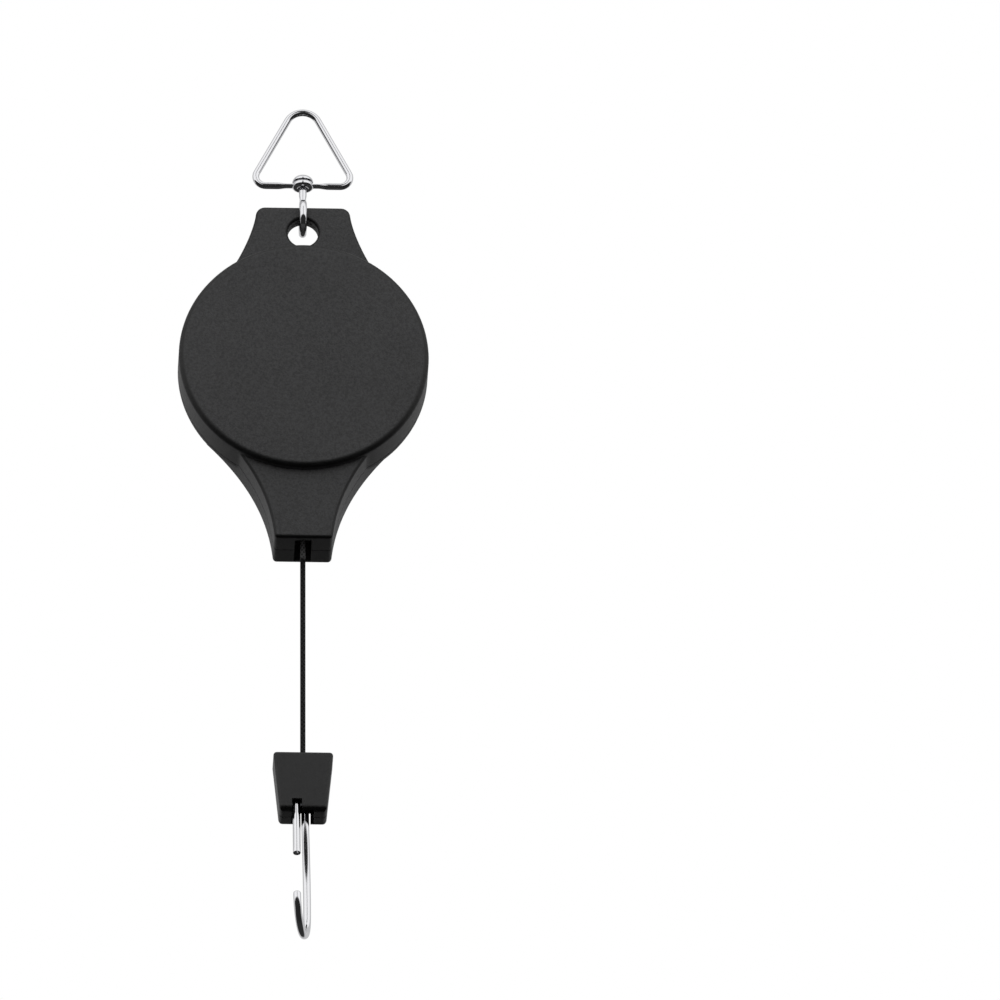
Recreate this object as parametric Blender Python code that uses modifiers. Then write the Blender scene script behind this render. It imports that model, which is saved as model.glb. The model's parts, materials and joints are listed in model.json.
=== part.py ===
"""Retractable hanging reel: a spring reel in a two-part case.

The case hangs from a swivel ring, and an open hook hangs on its cord.
Metres, +Z up, front towards -Y. The origin is the hang point, inside the top of the ring.
Heights named in the sizes are measured from the drum's axis, which lies DRUM_DROP below the origin.
"""

import math

import bmesh
import bpy
from mathutils import Vector
from mathutils.geometry import interpolate_bezier

GAP = 0.0003
HALF_SEAM = GAP / 2

# Ring: a triangle of wire with a round eyelet in its lower bar.
RING_WIRE_R = 0.0011
RING_BAR_Z = 0.0666
RING_APEX_TOP_Z = 0.0942
RING_APEX_BEND = 0.0055
RING_CORNER_BEND = 0.0032
RING_HALF_WIDTH = 0.0162
EYELET_R = 0.0035
EYELET_HALF_H = 0.0011
EYELET_BORE_R = 0.0014
DRUM_DROP = RING_APEX_TOP_Z - 2 * RING_WIRE_R

# Swivel: a headed pin bent to an eye through the ear.
SWIVEL_PIN_R = 0.00105
SWIVEL_HEAD_R = 0.0033
SWIVEL_HEAD_TOP_Z = 0.0702
SWIVEL_EYE_Z = 0.0549
SWIVEL_EYE_R = 0.0050
SWIVEL_WIRE_R = 0.0012

# Case.
DRUM_R = 0.0400
DRUM_FRONT = 0.0120
DRUM_FILLET = 0.0015
NECK_FRONT = 0.0093
NECK_EDGE = 0.0008
WALL = 0.0020
RIM_BACK = 0.0022
BACK_DRUM_R = 0.0376
BACK_DRUM_END_R = 0.0366
BACK_FILLET = 0.0016
NECK_BOTTOM_Z = -0.0641
EAR_TOP_Z = 0.0577
EAR_HALF_T = 0.0028
EAR_EDGE = 0.0010
EAR_HOLE_Z = 0.0486
EAR_HOLE_R = 0.0049
CAVITY_FLOOR_Z = -0.0490
SLOT_HALF_W = 0.0027
SLOT_FRONT = 0.0070
SLOT_BACK = 0.0076
SLOT_TOP_Z = -0.0576

# Case screws: two in the drum and two in the neck, from behind.
DRUM_SCREW_R = 0.0323
DRUM_SCREW_ANGLES = (45, 135)
NECK_SCREW_X = 0.0100
NECK_SCREW_Z = -0.0435
POST_R = 0.0024
SCREW_SHANK_R = 0.00105
SCREW_HEAD_R = 0.0021
SCREW_HEAD_H = 0.0011
SCREW_LENGTH = 0.0130
COUNTERBORE_DEPTH = 0.0014
AXLE_SCREW_R = 0.0012
AXLE_SCREW_HEAD_R = 0.0027

# Axle and what turns on it.
AXLE_R = 0.0026
ARBOR_R = 0.0036
AXLE_FRONT = -0.0090
AXLE_STEP = -0.0012
AXLE_BACK = 0.0087
BACK_BOSS_Y = 0.0090
CORD_R = 0.00075
WIND_R = 0.0237
TEETH = 12
TOOTH_TIP_R = 0.0130
TOOTH_ROOT_R = 0.0112
HUB_R = 0.02285
CHAMBER_R = 0.0205
FLANGE_R = 0.0292
PAWL_PIVOT = (-0.0110, 0.0166)
PAWL_LENGTH = 0.0110

# Cord, guide and end block.
GUIDE_TOP_Z = -0.0514
GUIDE_BOTTOM_Z = -0.0560
GUIDE_R = 0.0032
LEAVE_Y = 0.0040
BLOCK_TOP_Z = -0.1386
BLOCK_BOTTOM_Z = -0.1576
BLOCK_TOP_HALF_W = 0.00965
BLOCK_BOTTOM_HALF_W = 0.00755
BLOCK_HALF_D = 0.00575
BLOCK_EDGE = 0.0009
BLOCK_SCREW_X = 0.0056
BLOCK_SCREW_Z = -0.1450
BLOCK_SHANK_R = 0.0008
BLOCK_HEAD_R = 0.0016
BLOCK_CORNER = 0.0012
FERRULE_R = 0.0022
FERRULE_TOP_Z = -0.1415
FERRULE_BOTTOM_Z = -0.1464
HOOK_PIN_R = 0.00115
HOOK_PIN_Z = -0.1540
HOOK_POCKET_R = 0.0050
HOOK_WIRE_R = 0.00125
HOOK_EYE_R = 0.0028
HOOK_STRAND_X = 0.00155
HOOK_SHANK_X = 0.0006
BOW_X = 0.00165
NOTCH_HALF_W = 0.0031
NOTCH_TOP_Z = -0.1542
BOW_R = 0.0097
BOW_Z = -0.1903

PARTS = "hanging_reel"
CUTTERS = "cutters"


# Scene and small helpers


def clear_scene():
    for obj in list(bpy.data.objects):
        bpy.data.objects.remove(obj, do_unlink=True)


def new_collection(name):
    collection = bpy.data.collections.new(name)
    bpy.context.scene.collection.children.link(collection)
    return collection


def drum(x, y, z):
    """A point given from the centre of the drum."""
    return Vector((x, y, z - DRUM_DROP))


def empty(name, point):
    """The frame of one moving body: an empty on its joint's axis."""
    obj = bpy.data.objects.new(name, None)
    obj.empty_display_size = 0.005
    obj.location = point
    bpy.data.collections[PARTS].objects.link(obj)
    return obj


def material(name, colour, roughness, metallic=0.0):
    made = bpy.data.materials.new(name)
    made.use_nodes = True
    shader = made.node_tree.nodes["Principled BSDF"]
    shader.inputs["Base Color"].default_value = (*colour, 1.0)
    shader.inputs["Roughness"].default_value = roughness
    shader.inputs["Metallic"].default_value = metallic
    return made


def add_mesh(name, mesh, collection):
    obj = bpy.data.objects.new(name, mesh)
    bpy.data.collections[collection].objects.link(obj)
    return obj


def as_part(obj, name, look, body, sharp_above=35):
    """Moves a shape to the parts, under its body, with its material and smooth round faces."""
    obj.name = name
    obj.data.name = name
    for holder in list(obj.users_collection):
        holder.objects.unlink(obj)
    bpy.data.collections[PARTS].objects.link(obj)
    obj.hide_render = False
    obj.display_type = "TEXTURED"
    obj.data.materials.clear()
    obj.data.materials.append(look)
    if obj.type == "MESH":
        obj.data.shade_smooth()
        obj.data.set_sharp_from_angle(angle=math.radians(sharp_above))
    obj.location = obj.location - body.location
    obj.parent = body
    return obj


def helper(obj):
    obj.hide_render = True
    obj.display_type = "WIRE"
    return obj


def boolean(target, other, operation):
    modifier = target.modifiers.new(operation.lower() + "_" + other.name, "BOOLEAN")
    modifier.operation = operation
    modifier.object = other
    modifier.solver = "EXACT"
    return target


def cut(target, *others):
    for other in others:
        boolean(target, other, "DIFFERENCE")
    return target


def join(target, *others):
    for other in others:
        boolean(target, other, "UNION")
    return target


# Shape makers. Each returns a helper in the cutters' collection, placed in the scene.


def box(name, low, high):
    """A box between two corners given from the drum's centre."""
    low = drum(*low)
    high = drum(*high)
    mesh = bpy.data.meshes.new(name)
    shape = bmesh.new()
    bmesh.ops.create_cube(shape, size=1.0)
    bmesh.ops.scale(shape, vec=high - low, verts=shape.verts)
    shape.to_mesh(mesh)
    shape.free()
    obj = add_mesh(name, mesh, CUTTERS)
    obj.location = (low + high) / 2
    return helper(obj)


def turned(name, profile, centre, facing="FRONT", steps=48, closed=False):
    """A profile of (radius, height) points, down its outer side, turned about its height.

    FRONT turns it about the drum's axis direction, with height towards the front.
    UP turns it about the vertical. SIDE turns it about X.
    """
    mesh = bpy.data.meshes.new(name)
    shape = bmesh.new()
    points = [shape.verts.new((radius, 0, height)) for radius, height in profile]
    pairs = list(zip(points, points[1:]))
    if closed:
        pairs.append((points[-1], points[0]))
    for pair in pairs:
        shape.edges.new(pair)
    shape.to_mesh(mesh)
    shape.free()
    obj = add_mesh(name, mesh, CUTTERS)
    screw = obj.modifiers.new("turn", "SCREW")
    screw.steps = steps
    screw.render_steps = steps
    screw.use_merge_vertices = True
    screw.merge_threshold = 0.00001
    obj.location = centre
    obj.rotation_euler = {
        "FRONT": (math.pi / 2, 0, 0),
        "UP": (0, 0, 0),
        "SIDE": (0, math.pi / 2, 0),
    }[facing]
    return helper(obj)


def cylinder(name, radius, low, high, centre, facing="FRONT", steps=32):
    """A cylinder between two heights along its own axis."""
    profile = [(0, high), (radius, high), (radius, low), (0, low)]
    return turned(name, profile, centre, facing, steps)


def tube_ring(name, inner, outer, low, high, centre, facing="FRONT", steps=48):
    profile = [(inner, high), (outer, high), (outer, low), (inner, low)]
    return turned(name, profile, centre, facing, steps, closed=True)


def front_post(name, radius, front, back, x, z, steps=24):
    """A cylinder along the drum's axis, from one depth to another."""
    return cylinder(name, radius, -back, -front, drum(x, 0, z), "FRONT", steps)


def mesh_of_curve(obj):
    """The curve as a mesh whose caps are welded, in the curve's place."""
    graph = bpy.context.evaluated_depsgraph_get()
    mesh = bpy.data.meshes.new_from_object(obj.evaluated_get(graph))
    shape = bmesh.new()
    shape.from_mesh(mesh)
    bmesh.ops.remove_doubles(shape, verts=shape.verts, dist=0.000002)
    shape.to_mesh(mesh)
    shape.free()
    made = add_mesh(obj.name, mesh, CUTTERS)
    made.matrix_world = obj.matrix_world
    bpy.data.objects.remove(obj)
    return helper(made)


def plate(name, outline, half_thickness, y=0.0, edge=0.0):
    """An outline of (x, z) points given from the drum's centre, made a plate with rounded edges."""
    curve = bpy.data.curves.new(name, "CURVE")
    curve.dimensions = "2D"
    curve.fill_mode = "BOTH"
    curve.extrude = half_thickness - edge
    curve.bevel_depth = edge
    curve.offset = -edge
    curve.bevel_resolution = 1
    spline = curve.splines.new("POLY")
    spline.points.add(len(outline) - 1)
    for point, (x, z) in zip(spline.points, outline):
        point.co = (x, z, 0, 1)
    spline.use_cyclic_u = True
    obj = bpy.data.objects.new(name, curve)
    bpy.data.collections[CUTTERS].objects.link(obj)
    obj.location = drum(0, y, 0)
    obj.rotation_euler = (math.pi / 2, 0, 0)
    bpy.context.view_layer.update()
    return mesh_of_curve(obj)


def wire(name, path, radius, centre, closed=False, sides=2):
    """A round wire along a path of points given from its centre."""
    curve = bpy.data.curves.new(name, "CURVE")
    curve.dimensions = "3D"
    curve.bevel_depth = radius
    curve.bevel_resolution = sides
    curve.use_fill_caps = True
    spline = curve.splines.new("POLY")
    spline.points.add(len(path) - 1)
    for point, place in zip(spline.points, path):
        point.co = (*place, 1)
    spline.use_cyclic_u = closed
    obj = bpy.data.objects.new(name, curve)
    bpy.data.collections[CUTTERS].objects.link(obj)
    obj.location = centre
    bpy.context.view_layer.update()
    return mesh_of_curve(obj)


def arc(centre_x, centre_z, radius, start, end, count):
    """Points on an arc from one angle to another, in degrees."""
    points = []
    for i in range(count + 1):
        angle = math.radians(start + (end - start) * i / count)
        points.append((centre_x + radius * math.cos(angle), centre_z + radius * math.sin(angle)))
    return points


def bent(start, start_handle, end_handle, end, count):
    """Points on a cubic bend between two points."""
    knots = [Vector((*point, 0)) for point in (start, start_handle, end_handle, end)]
    return [(point.x, point.y) for point in interpolate_bezier(*knots, count)]


def both_sides(right):
    """A closed outline from its right half, given from top to bottom."""
    return right + [(-x, z) for x, z in reversed(right)]


def rounded_profile(front, back, radius, fillet, steps=4):
    """A solid disc's profile with a fillet on its front edge, heights towards the front."""
    bend = arc(radius - fillet, front - fillet, fillet, 90, 0, steps)
    return [(0, front)] + bend + [(radius, back), (0, back)]


# Ring and swivel


def ring_path():
    """Centre line of the ring's right half, from the middle of its bar to its top."""
    half = RING_HALF_WIDTH - RING_WIRE_R
    corner = Vector((half - RING_CORNER_BEND, RING_BAR_Z + RING_CORNER_BEND))
    apex = Vector((0, RING_APEX_TOP_Z - RING_WIRE_R - RING_APEX_BEND))
    across = apex - corner
    lean = math.atan2(across.y, across.x) - math.acos((RING_CORNER_BEND - RING_APEX_BEND) / across.length)
    lean = math.degrees(lean)
    low = arc(corner.x, corner.y, RING_CORNER_BEND, -90, lean, 6)
    high = arc(apex.x, apex.y, RING_APEX_BEND, lean, 90, 6)
    return [(EYELET_R * 0.6, RING_BAR_Z)] + low + high


def make_ring(bodies, looks):
    right = ring_path()
    loop = right + [(-x, z) for x, z in reversed(right[:-1])]
    ring = wire("ring_wire", [(x, 0, z) for x, z in loop], RING_WIRE_R, drum(0, 0, 0))
    low = RING_BAR_Z - EYELET_HALF_H
    high = RING_BAR_Z + EYELET_HALF_H
    centre = drum(0, 0, 0)
    join(ring, cylinder("ring_eyelet", EYELET_R, low, high, centre, "UP"))
    cut(ring, cylinder("ring_bore", EYELET_BORE_R, low - 0.002, high + 0.002, centre, "UP", 24))
    as_part(ring, "ring", looks["chrome"], bodies["ring"])


def make_swivel(bodies, looks):
    head_low = RING_BAR_Z + EYELET_HALF_H + GAP
    head_height = SWIVEL_HEAD_TOP_Z - head_low
    dome = []
    for i in range(7):
        angle = math.radians(90 * (1 - i / 6))
        dome.append((SWIVEL_HEAD_R * math.cos(angle), head_low + head_height * math.sin(angle)))
    dome[0] = (0, SWIVEL_HEAD_TOP_Z)
    eye_top = SWIVEL_EYE_Z + SWIVEL_EYE_R
    profile = dome + [(SWIVEL_PIN_R, head_low), (SWIVEL_PIN_R, eye_top), (0, eye_top)]
    swivel = turned("swivel_pin", profile, drum(0, 0, 0), "UP", 24)
    loop = arc(0, 0, SWIVEL_EYE_R, 90, 450, 32)[:-1]
    eye = wire("swivel_loop", [(0, y, z) for y, z in loop], SWIVEL_WIRE_R, drum(0, 0, SWIVEL_EYE_Z), True)
    join(swivel, eye)
    as_part(swivel, "swivel_eye", looks["chrome"], bodies["swivel"])


# Case


def neck_outline(inset=0.0, bottom=NECK_BOTTOM_Z, corner=0.0013):
    """The neck, from inside the drum down to its foot. The flanks are hollow curves."""
    flank = bent((0.0305, -0.0225), (0.0206, -0.0325), (0.0110, -0.0458), (0.0093, -0.0640), 16)
    flank = [(x - inset, z) for x, z in flank if z > bottom + corner + 0.0004]
    foot_x = flank[-1][0] - 0.0001
    foot = arc(foot_x - corner, bottom + corner, corner, 0, -90, 3)
    return both_sides([(0.0290 - inset, 0.0)] + flank + foot)


def ear_outline():
    corner = arc(0.01215, EAR_TOP_Z - 0.0030, 0.0030, 90, 8, 4)
    flank = bent(corner[-1], (0.0158, 0.0495), (0.0200, 0.0386), (0.0262, 0.0302), 8)
    return both_sides(corner + flank[1:] + [(0.0200, 0.0240)])


def screw_places():
    drum_places = []
    for degrees in DRUM_SCREW_ANGLES:
        angle = math.radians(degrees)
        drum_places.append((DRUM_SCREW_R * math.cos(angle), DRUM_SCREW_R * math.sin(angle)))
    return drum_places, [(NECK_SCREW_X, NECK_SCREW_Z), (-NECK_SCREW_X, NECK_SCREW_Z)]


def neck_cuts(side):
    """What is cut from the neck in both halves: the cavity, the guide's seat and the outlet slot."""
    depth = NECK_FRONT - WALL
    cavity = plate("neck_cavity_" + side, neck_outline(WALL, CAVITY_FLOOR_Z, 0.0010), depth)
    seat_low = GUIDE_BOTTOM_Z - GAP
    seat_high = GUIDE_TOP_Z + GAP
    seat_r = GUIDE_R + GAP
    seat = turned(
        "guide_seat_" + side,
        [
            (0, -0.0480),
            (0.0044, -0.0480),
            (0.0020, -0.0503),
            (0.0020, seat_high),
            (seat_r, seat_high),
            (seat_r, seat_low),
            (0.0019, seat_low),
            (0.0019, -0.0600),
            (0, -0.0600),
        ],
        drum(0, 0, 0),
        "UP",
        24,
    )
    slot = box(
        "outlet_slot_" + side,
        (-SLOT_HALF_W, -SLOT_FRONT, NECK_BOTTOM_Z - 0.002),
        (SLOT_HALF_W, SLOT_BACK, SLOT_TOP_Z),
    )
    return cavity, seat, slot


def ear_hole(side):
    """The ear's hole, wider at its mouths."""
    mouth = EAR_HOLE_R + 0.0007
    profile = [
        (0, 0.005),
        (mouth + 0.0015, 0.005),
        (mouth, EAR_HALF_T),
        (EAR_HOLE_R, EAR_HALF_T - 0.0009),
        (EAR_HOLE_R, 0.0009 - EAR_HALF_T),
        (mouth, -EAR_HALF_T),
        (mouth + 0.0015, -0.005),
        (0, -0.005),
    ]
    return turned("ear_hole_" + side, profile, drum(0, 0, EAR_HOLE_Z), "FRONT", 32)


def make_front_cover(bodies, looks):
    cover = turned(
        "front_drum",
        rounded_profile(DRUM_FRONT, 0.0, DRUM_R, DRUM_FILLET),
        drum(0, 0, 0),
        "FRONT",
        60,
    )
    join(
        cover,
        plate("front_neck", neck_outline(), NECK_FRONT, edge=NECK_EDGE),
        plate("front_ear", ear_outline(), EAR_HALF_T, edge=EAR_EDGE),
    )
    cut(
        cover,
        box("front_half", (-0.1, -HALF_SEAM, -0.1), (0.1, 0.05, 0.1)),
        cylinder("front_cavity", DRUM_R - WALL, -0.01, DRUM_FRONT - WALL, drum(0, 0, 0), steps=48),
        *neck_cuts("front"),
        ear_hole("front"),
    )
    back = -HALF_SEAM
    front = -DRUM_FRONT + WALL / 2
    drum_places, neck_places = screw_places()
    for i, (x, z) in enumerate(drum_places):
        join(cover, front_post(f"front_drum_post_{i}", POST_R, front, back, x, z))
    for i, (x, z) in enumerate(neck_places):
        join(cover, front_post(f"front_neck_post_{i}", POST_R, -NECK_FRONT + WALL / 2, back, x, z))
    join(cover, front_post("axle_socket", 0.0044, front, -0.0074, 0, 0, 32))
    for i, (x, z) in enumerate(drum_places + neck_places):
        cut(cover, front_post(f"front_pilot_{i}", SCREW_SHANK_R + GAP, -0.0075, 0.001, x, z, 16))
    cut(
        cover,
        front_post("axle_socket_bore", AXLE_R + GAP, AXLE_FRONT - GAP, 0, 0, 0, 32),
        front_post("pawl_pin_bore", 0.0015, -0.0111, -0.009, *PAWL_PIVOT),
    )
    as_part(cover, "front_cover", looks["case"], bodies["casing"])


def screw_bore(name, x, z, inside, face, hole_r, seat_r):
    """A hole through to the back face, with a counterbore for the screw's head."""
    seat = face - COUNTERBORE_DEPTH
    outside = face + 0.01
    profile = [
        (0, -inside),
        (hole_r, -inside),
        (hole_r, -seat),
        (seat_r, -seat),
        (seat_r, -outside),
        (0, -outside),
    ]
    return turned(name, profile, drum(x, 0, z), "FRONT", 20)


def make_rear_cover(bodies, looks):
    bend = arc(BACK_DRUM_END_R - BACK_FILLET, -DRUM_FRONT + BACK_FILLET, BACK_FILLET, 0, -90, 4)
    profile = [(0, 0), (DRUM_R, 0), (DRUM_R, -RIM_BACK), (BACK_DRUM_R, -RIM_BACK)]
    cover = turned("rear_drum", profile + bend + [(0, -DRUM_FRONT)], drum(0, 0, 0), "FRONT", 60)
    join(
        cover,
        plate("rear_neck", neck_outline(), NECK_FRONT, edge=NECK_EDGE),
        plate("rear_ear", ear_outline(), EAR_HALF_T, edge=EAR_EDGE),
    )
    inside_r = BACK_DRUM_END_R - WALL
    cut(
        cover,
        box("rear_half", (-0.1, -0.05, -0.1), (0.1, HALF_SEAM, 0.1)),
        cylinder("rear_cavity", inside_r, WALL - DRUM_FRONT, 0.01, drum(0, 0, 0), steps=48),
        *neck_cuts("rear"),
        ear_hole("rear"),
    )
    drum_places, neck_places = screw_places()
    depths = [(place, DRUM_FRONT) for place in drum_places] + [(place, NECK_FRONT) for place in neck_places]
    for i, ((x, z), face) in enumerate(depths):
        join(cover, front_post(f"rear_post_{i}", POST_R, HALF_SEAM, face - WALL / 2, x, z))
    join(cover, front_post("axle_boss", 0.0070, BACK_BOSS_Y, DRUM_FRONT - WALL / 2, 0, 0, 32))
    for i, ((x, z), face) in enumerate(depths):
        bore = screw_bore(f"rear_hole_{i}", x, z, -0.001, face, SCREW_SHANK_R + GAP, SCREW_HEAD_R + GAP)
        cut(cover, bore)
    hole_r, seat_r = AXLE_SCREW_R + GAP, AXLE_SCREW_HEAD_R + GAP
    cut(cover, screw_bore("axle_screw_hole", 0, 0, 0.008, DRUM_FRONT, hole_r, seat_r))
    as_part(cover, "rear_cover", looks["case"], bodies["casing"])


def screw_shape(name, x, z, seat, length, head_r, head_h, shank_r, recess_r):
    """A pan-head screw with its head towards the back and a hexagonal recess."""
    profile = [
        (0, -seat - head_h),
        (head_r * 0.75, -seat - head_h),
        (head_r, -seat - head_h * 0.6),
        (head_r, -seat),
        (shank_r, -seat),
        (shank_r, length - seat - shank_r),
        (shank_r * 0.3, length - seat),
        (0, length - seat),
    ]
    screw = turned(name, list(reversed(profile)), drum(x, 0, z), "FRONT", 14)
    recess = front_post(name + "_recess", recess_r, seat + head_h * 0.35, seat + head_h + 0.001, x, z, 6)
    return cut(screw, recess)


def make_case_screws(bodies, looks):
    drum_places, neck_places = screw_places()
    depths = [(place, DRUM_FRONT) for place in drum_places] + [(place, NECK_FRONT) for place in neck_places]
    for i, ((x, z), face) in enumerate(depths, start=1):
        seat = face - COUNTERBORE_DEPTH + GAP
        length = SCREW_LENGTH + face - DRUM_FRONT
        screw = screw_shape(
            f"case_screw_{i}", x, z, seat, length, SCREW_HEAD_R, SCREW_HEAD_H, SCREW_SHANK_R, 0.0010
        )
        as_part(screw, f"case_screw_{i}", looks["steel"], bodies["casing"])


# Reel inside the case


def make_axle(bodies, looks):
    profile = [
        (0, -AXLE_FRONT),
        (AXLE_R - 0.0003, -AXLE_FRONT),
        (AXLE_R, -AXLE_FRONT - 0.0003),
        (AXLE_R, -AXLE_STEP),
        (ARBOR_R, -AXLE_STEP),
        (ARBOR_R, -AXLE_BACK),
        (0, -AXLE_BACK),
    ]
    axle = turned("axle_blank", profile, drum(0, 0, 0), "FRONT", 32)
    cut(
        axle,
        front_post("axle_thread", AXLE_SCREW_R + GAP, 0.0015, 0.01, 0, 0, 20),
        box("spring_slot", (0.0021, 0.0, -0.0004), (0.005, 0.01, 0.0004)),
    )
    as_part(axle, "axle", looks["steel"], bodies["casing"])
    seat = DRUM_FRONT - COUNTERBORE_DEPTH + GAP
    screw = screw_shape(
        "axle_screw", 0, 0, seat, 0.0080, AXLE_SCREW_HEAD_R, SCREW_HEAD_H, AXLE_SCREW_R, 0.0012
    )
    as_part(screw, "axle_screw", looks["steel"], bodies["casing"])
    washer = tube_ring("axle_washer", 0.0039, 0.0066, -0.0086, -0.0079, drum(0, 0, 0), "FRONT", 24)
    as_part(washer, "axle_washer", looks["steel"], bodies["casing"])


def ratchet_outline():
    """Saw teeth whose steep sides stop the spool from winding in."""
    points = []
    for i in range(TEETH):
        tip = 90 - 360 * i / TEETH
        tooth = ((TOOTH_ROOT_R, tip), (TOOTH_TIP_R, tip - 1.5), (TOOTH_TIP_R - 0.0001, tip - 6))
        for radius, degrees in tooth:
            angle = math.radians(degrees)
            points.append((radius * math.cos(angle), radius * math.sin(angle)))
    return points


def make_spool(bodies, looks):
    centre = drum(0, 0, 0)
    profile = [
        (0, 0.0060),
        (FLANGE_R, 0.0060),
        (FLANGE_R, 0.0046),
        (HUB_R, 0.0046),
        (HUB_R, -0.0056),
        (FLANGE_R, -0.0056),
        (FLANGE_R, -0.0073),
        (0.0216, -0.0073),
        (0.0216, -0.0063),
        (CHAMBER_R, -0.0063),
        (CHAMBER_R, 0.0042),
        (0.0064, 0.0042),
        (0.0064, 0.0018),
        (0, 0.0018),
    ]
    spool = turned("spool_blank", profile, centre, "FRONT", 48)
    teeth = plate("ratchet_teeth", ratchet_outline(), 0.0016, y=-0.0072)
    join(spool, teeth)
    cut(
        spool,
        front_post("ratchet_bore", 0.0086, -0.01, -0.0060, 0, 0, 32),
        front_post("bush_bore", 0.0044, -0.01, 0.0, 0, 0, 32),
    )
    as_part(spool, "spool", looks["spool"], bodies["spool"])
    bush_profile = [
        (0.0029, 0.0069),
        (0.0054, 0.0069),
        (0.0054, 0.0063),
        (0.0041, 0.0063),
        (0.0041, 0.0019),
        (0.0029, 0.0019),
    ]
    bush = turned("spool_bush", bush_profile, centre, "FRONT", 32, closed=True)
    as_part(bush, "spool_bush", looks["bush"], bodies["spool"])
    lid = tube_ring("spring_cover", 0.0045, 0.0213, -0.0076, -0.0066, centre, "FRONT", 40)
    as_part(lid, "spring_cover", looks["steel"], bodies["spool"])
    wound = tube_ring("cord_wound", HUB_R + GAP, WIND_R + 0.0009, -0.0050, 0.0040, centre, "FRONT", 40)
    as_part(wound, "cord_wound", looks["cord"], bodies["spool"])


def make_mainspring(bodies, looks):
    """A flat strip on edge, wound from the arbor out to the wall of its chamber."""
    inner, outer, turns, per_turn = 0.0046, 0.0196, 7, 18
    front, back = -0.0014, 0.0058
    mesh = bpy.data.meshes.new("mainspring")
    shape = bmesh.new()
    line = []
    for i in range(turns * per_turn + 1):
        share = i / (turns * per_turn)
        angle = 2 * math.pi * turns * share
        radius = inner + (outer - inner) * share**0.8
        line.append(shape.verts.new((radius * math.cos(angle), front, radius * math.sin(angle))))
    edges = [shape.edges.new(pair) for pair in zip(line, line[1:])]
    across = bmesh.ops.extrude_edge_only(shape, edges=edges)["geom"]
    moved = [item for item in across if isinstance(item, bmesh.types.BMVert)]
    bmesh.ops.translate(shape, vec=(0, back - front, 0), verts=moved)
    bmesh.ops.recalc_face_normals(shape, faces=shape.faces)
    shape.to_mesh(mesh)
    shape.free()
    spring = add_mesh("mainspring", mesh, CUTTERS)
    spring.location = drum(0, 0, 0)
    solid = spring.modifiers.new("thickness", "SOLIDIFY")
    solid.thickness = 0.0004
    solid.offset = 0
    as_part(spring, "mainspring", looks["steel"], bodies["spool"])


def make_pawl(bodies, looks):
    """The pawl, drawn lifted clear of the teeth, with its pin and spring."""
    pivot_x, pivot_z = PAWL_PIVOT
    reach = PAWL_LENGTH
    boss = arc(0, 0, 0.0030, 60, 300, 10)
    tip = [(reach - 0.0012, -0.0032), (reach, -0.0030), (reach - 0.0004, -0.0012), (reach * 0.5, 0.0012)]
    outline = [(pivot_x + x, pivot_z + z) for x, z in boss + tip]
    pawl = plate("pawl_blank", list(reversed(outline)), 0.0013, y=-0.0077)
    cut(pawl, front_post("pawl_bore", 0.0015, -0.02, 0.0, pivot_x, pivot_z))
    as_part(pawl, "pawl", looks["bush"], bodies["pawl"])
    pin = front_post("pawl_pin", 0.0012, -0.0108, -0.0063, pivot_x, pivot_z)
    as_part(pin, "pawl_pin", looks["steel"], bodies["casing"])
    route = [(-0.0080, -0.0042), (-0.0070, 0.0023), (-0.0030, 0.0046), (0.0030, 0.0036), (0.0070, 0.0018)]
    path = [(pivot_x + x, -0.0078, pivot_z + z) for x, z in route]
    spring = wire("pawl_spring", path, 0.00025, drum(0, 0, 0))
    as_part(spring, "pawl_spring", looks["steel"], bodies["casing"])


# Cord, end block and hook


def leave_point():
    """Where the cord leaves the spool, on the line that touches its turns and enters the guide."""
    reach = -GUIDE_TOP_Z
    angle = math.acos(WIND_R / reach)
    return Vector((WIND_R * math.sin(angle), LEAVE_Y, -WIND_R * math.cos(angle)))


def make_cord(bodies, looks):
    start = leave_point()
    end = Vector((0, 0, GUIDE_TOP_Z + 0.0005))
    clear = 0.0102 / (end - start).length
    path = [start.lerp(end, clear + (1 - clear) * i / 12) for i in range(13)]
    inner = wire("cord_inner", path, CORD_R, drum(0, 0, 0))
    as_part(inner, "cord_inner", looks["cord"], bodies["casing"])
    top = GUIDE_TOP_Z - 0.0002
    bottom = FERRULE_TOP_Z + GAP
    path = [(0, 0, top + (bottom - top) * i / 40) for i in range(41)]
    cord = wire("cord", path, CORD_R, drum(0, 0, 0))
    as_part(cord, "cord", looks["cord"], bodies["cord_end"])
    ferrule = cylinder("cord_ferrule", FERRULE_R, FERRULE_BOTTOM_Z, FERRULE_TOP_Z, drum(0, 0, 0), "UP", 24)
    as_part(ferrule, "cord_ferrule", looks["steel"], bodies["cord_end"])
    middle = (GUIDE_TOP_Z + GUIDE_BOTTOM_Z) / 2
    lips = arc(0, 0, 1.0, 90, -90, 6)
    half = (GUIDE_TOP_Z - GUIDE_BOTTOM_Z) / 2
    throat = [(0.0022 - 0.0010 * math.sqrt(max(0.0, 1 - z * z)), middle + half * z) for _, z in lips]
    profile = [(GUIDE_R, GUIDE_TOP_Z), (GUIDE_R, GUIDE_BOTTOM_Z)] + list(reversed(throat))
    guide = turned("cord_guide", profile, drum(0, 0, 0), "UP", 24, closed=True)
    as_part(guide, "cord_guide", looks["bush"], bodies["casing"])


def block_outline():
    top = arc(BLOCK_TOP_HALF_W - BLOCK_CORNER, BLOCK_TOP_Z - BLOCK_CORNER, BLOCK_CORNER, 90, 0, 3)
    low = arc(BLOCK_BOTTOM_HALF_W - BLOCK_CORNER, BLOCK_BOTTOM_Z + BLOCK_CORNER, BLOCK_CORNER, 0, -90, 3)
    return both_sides(top + low)


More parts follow.
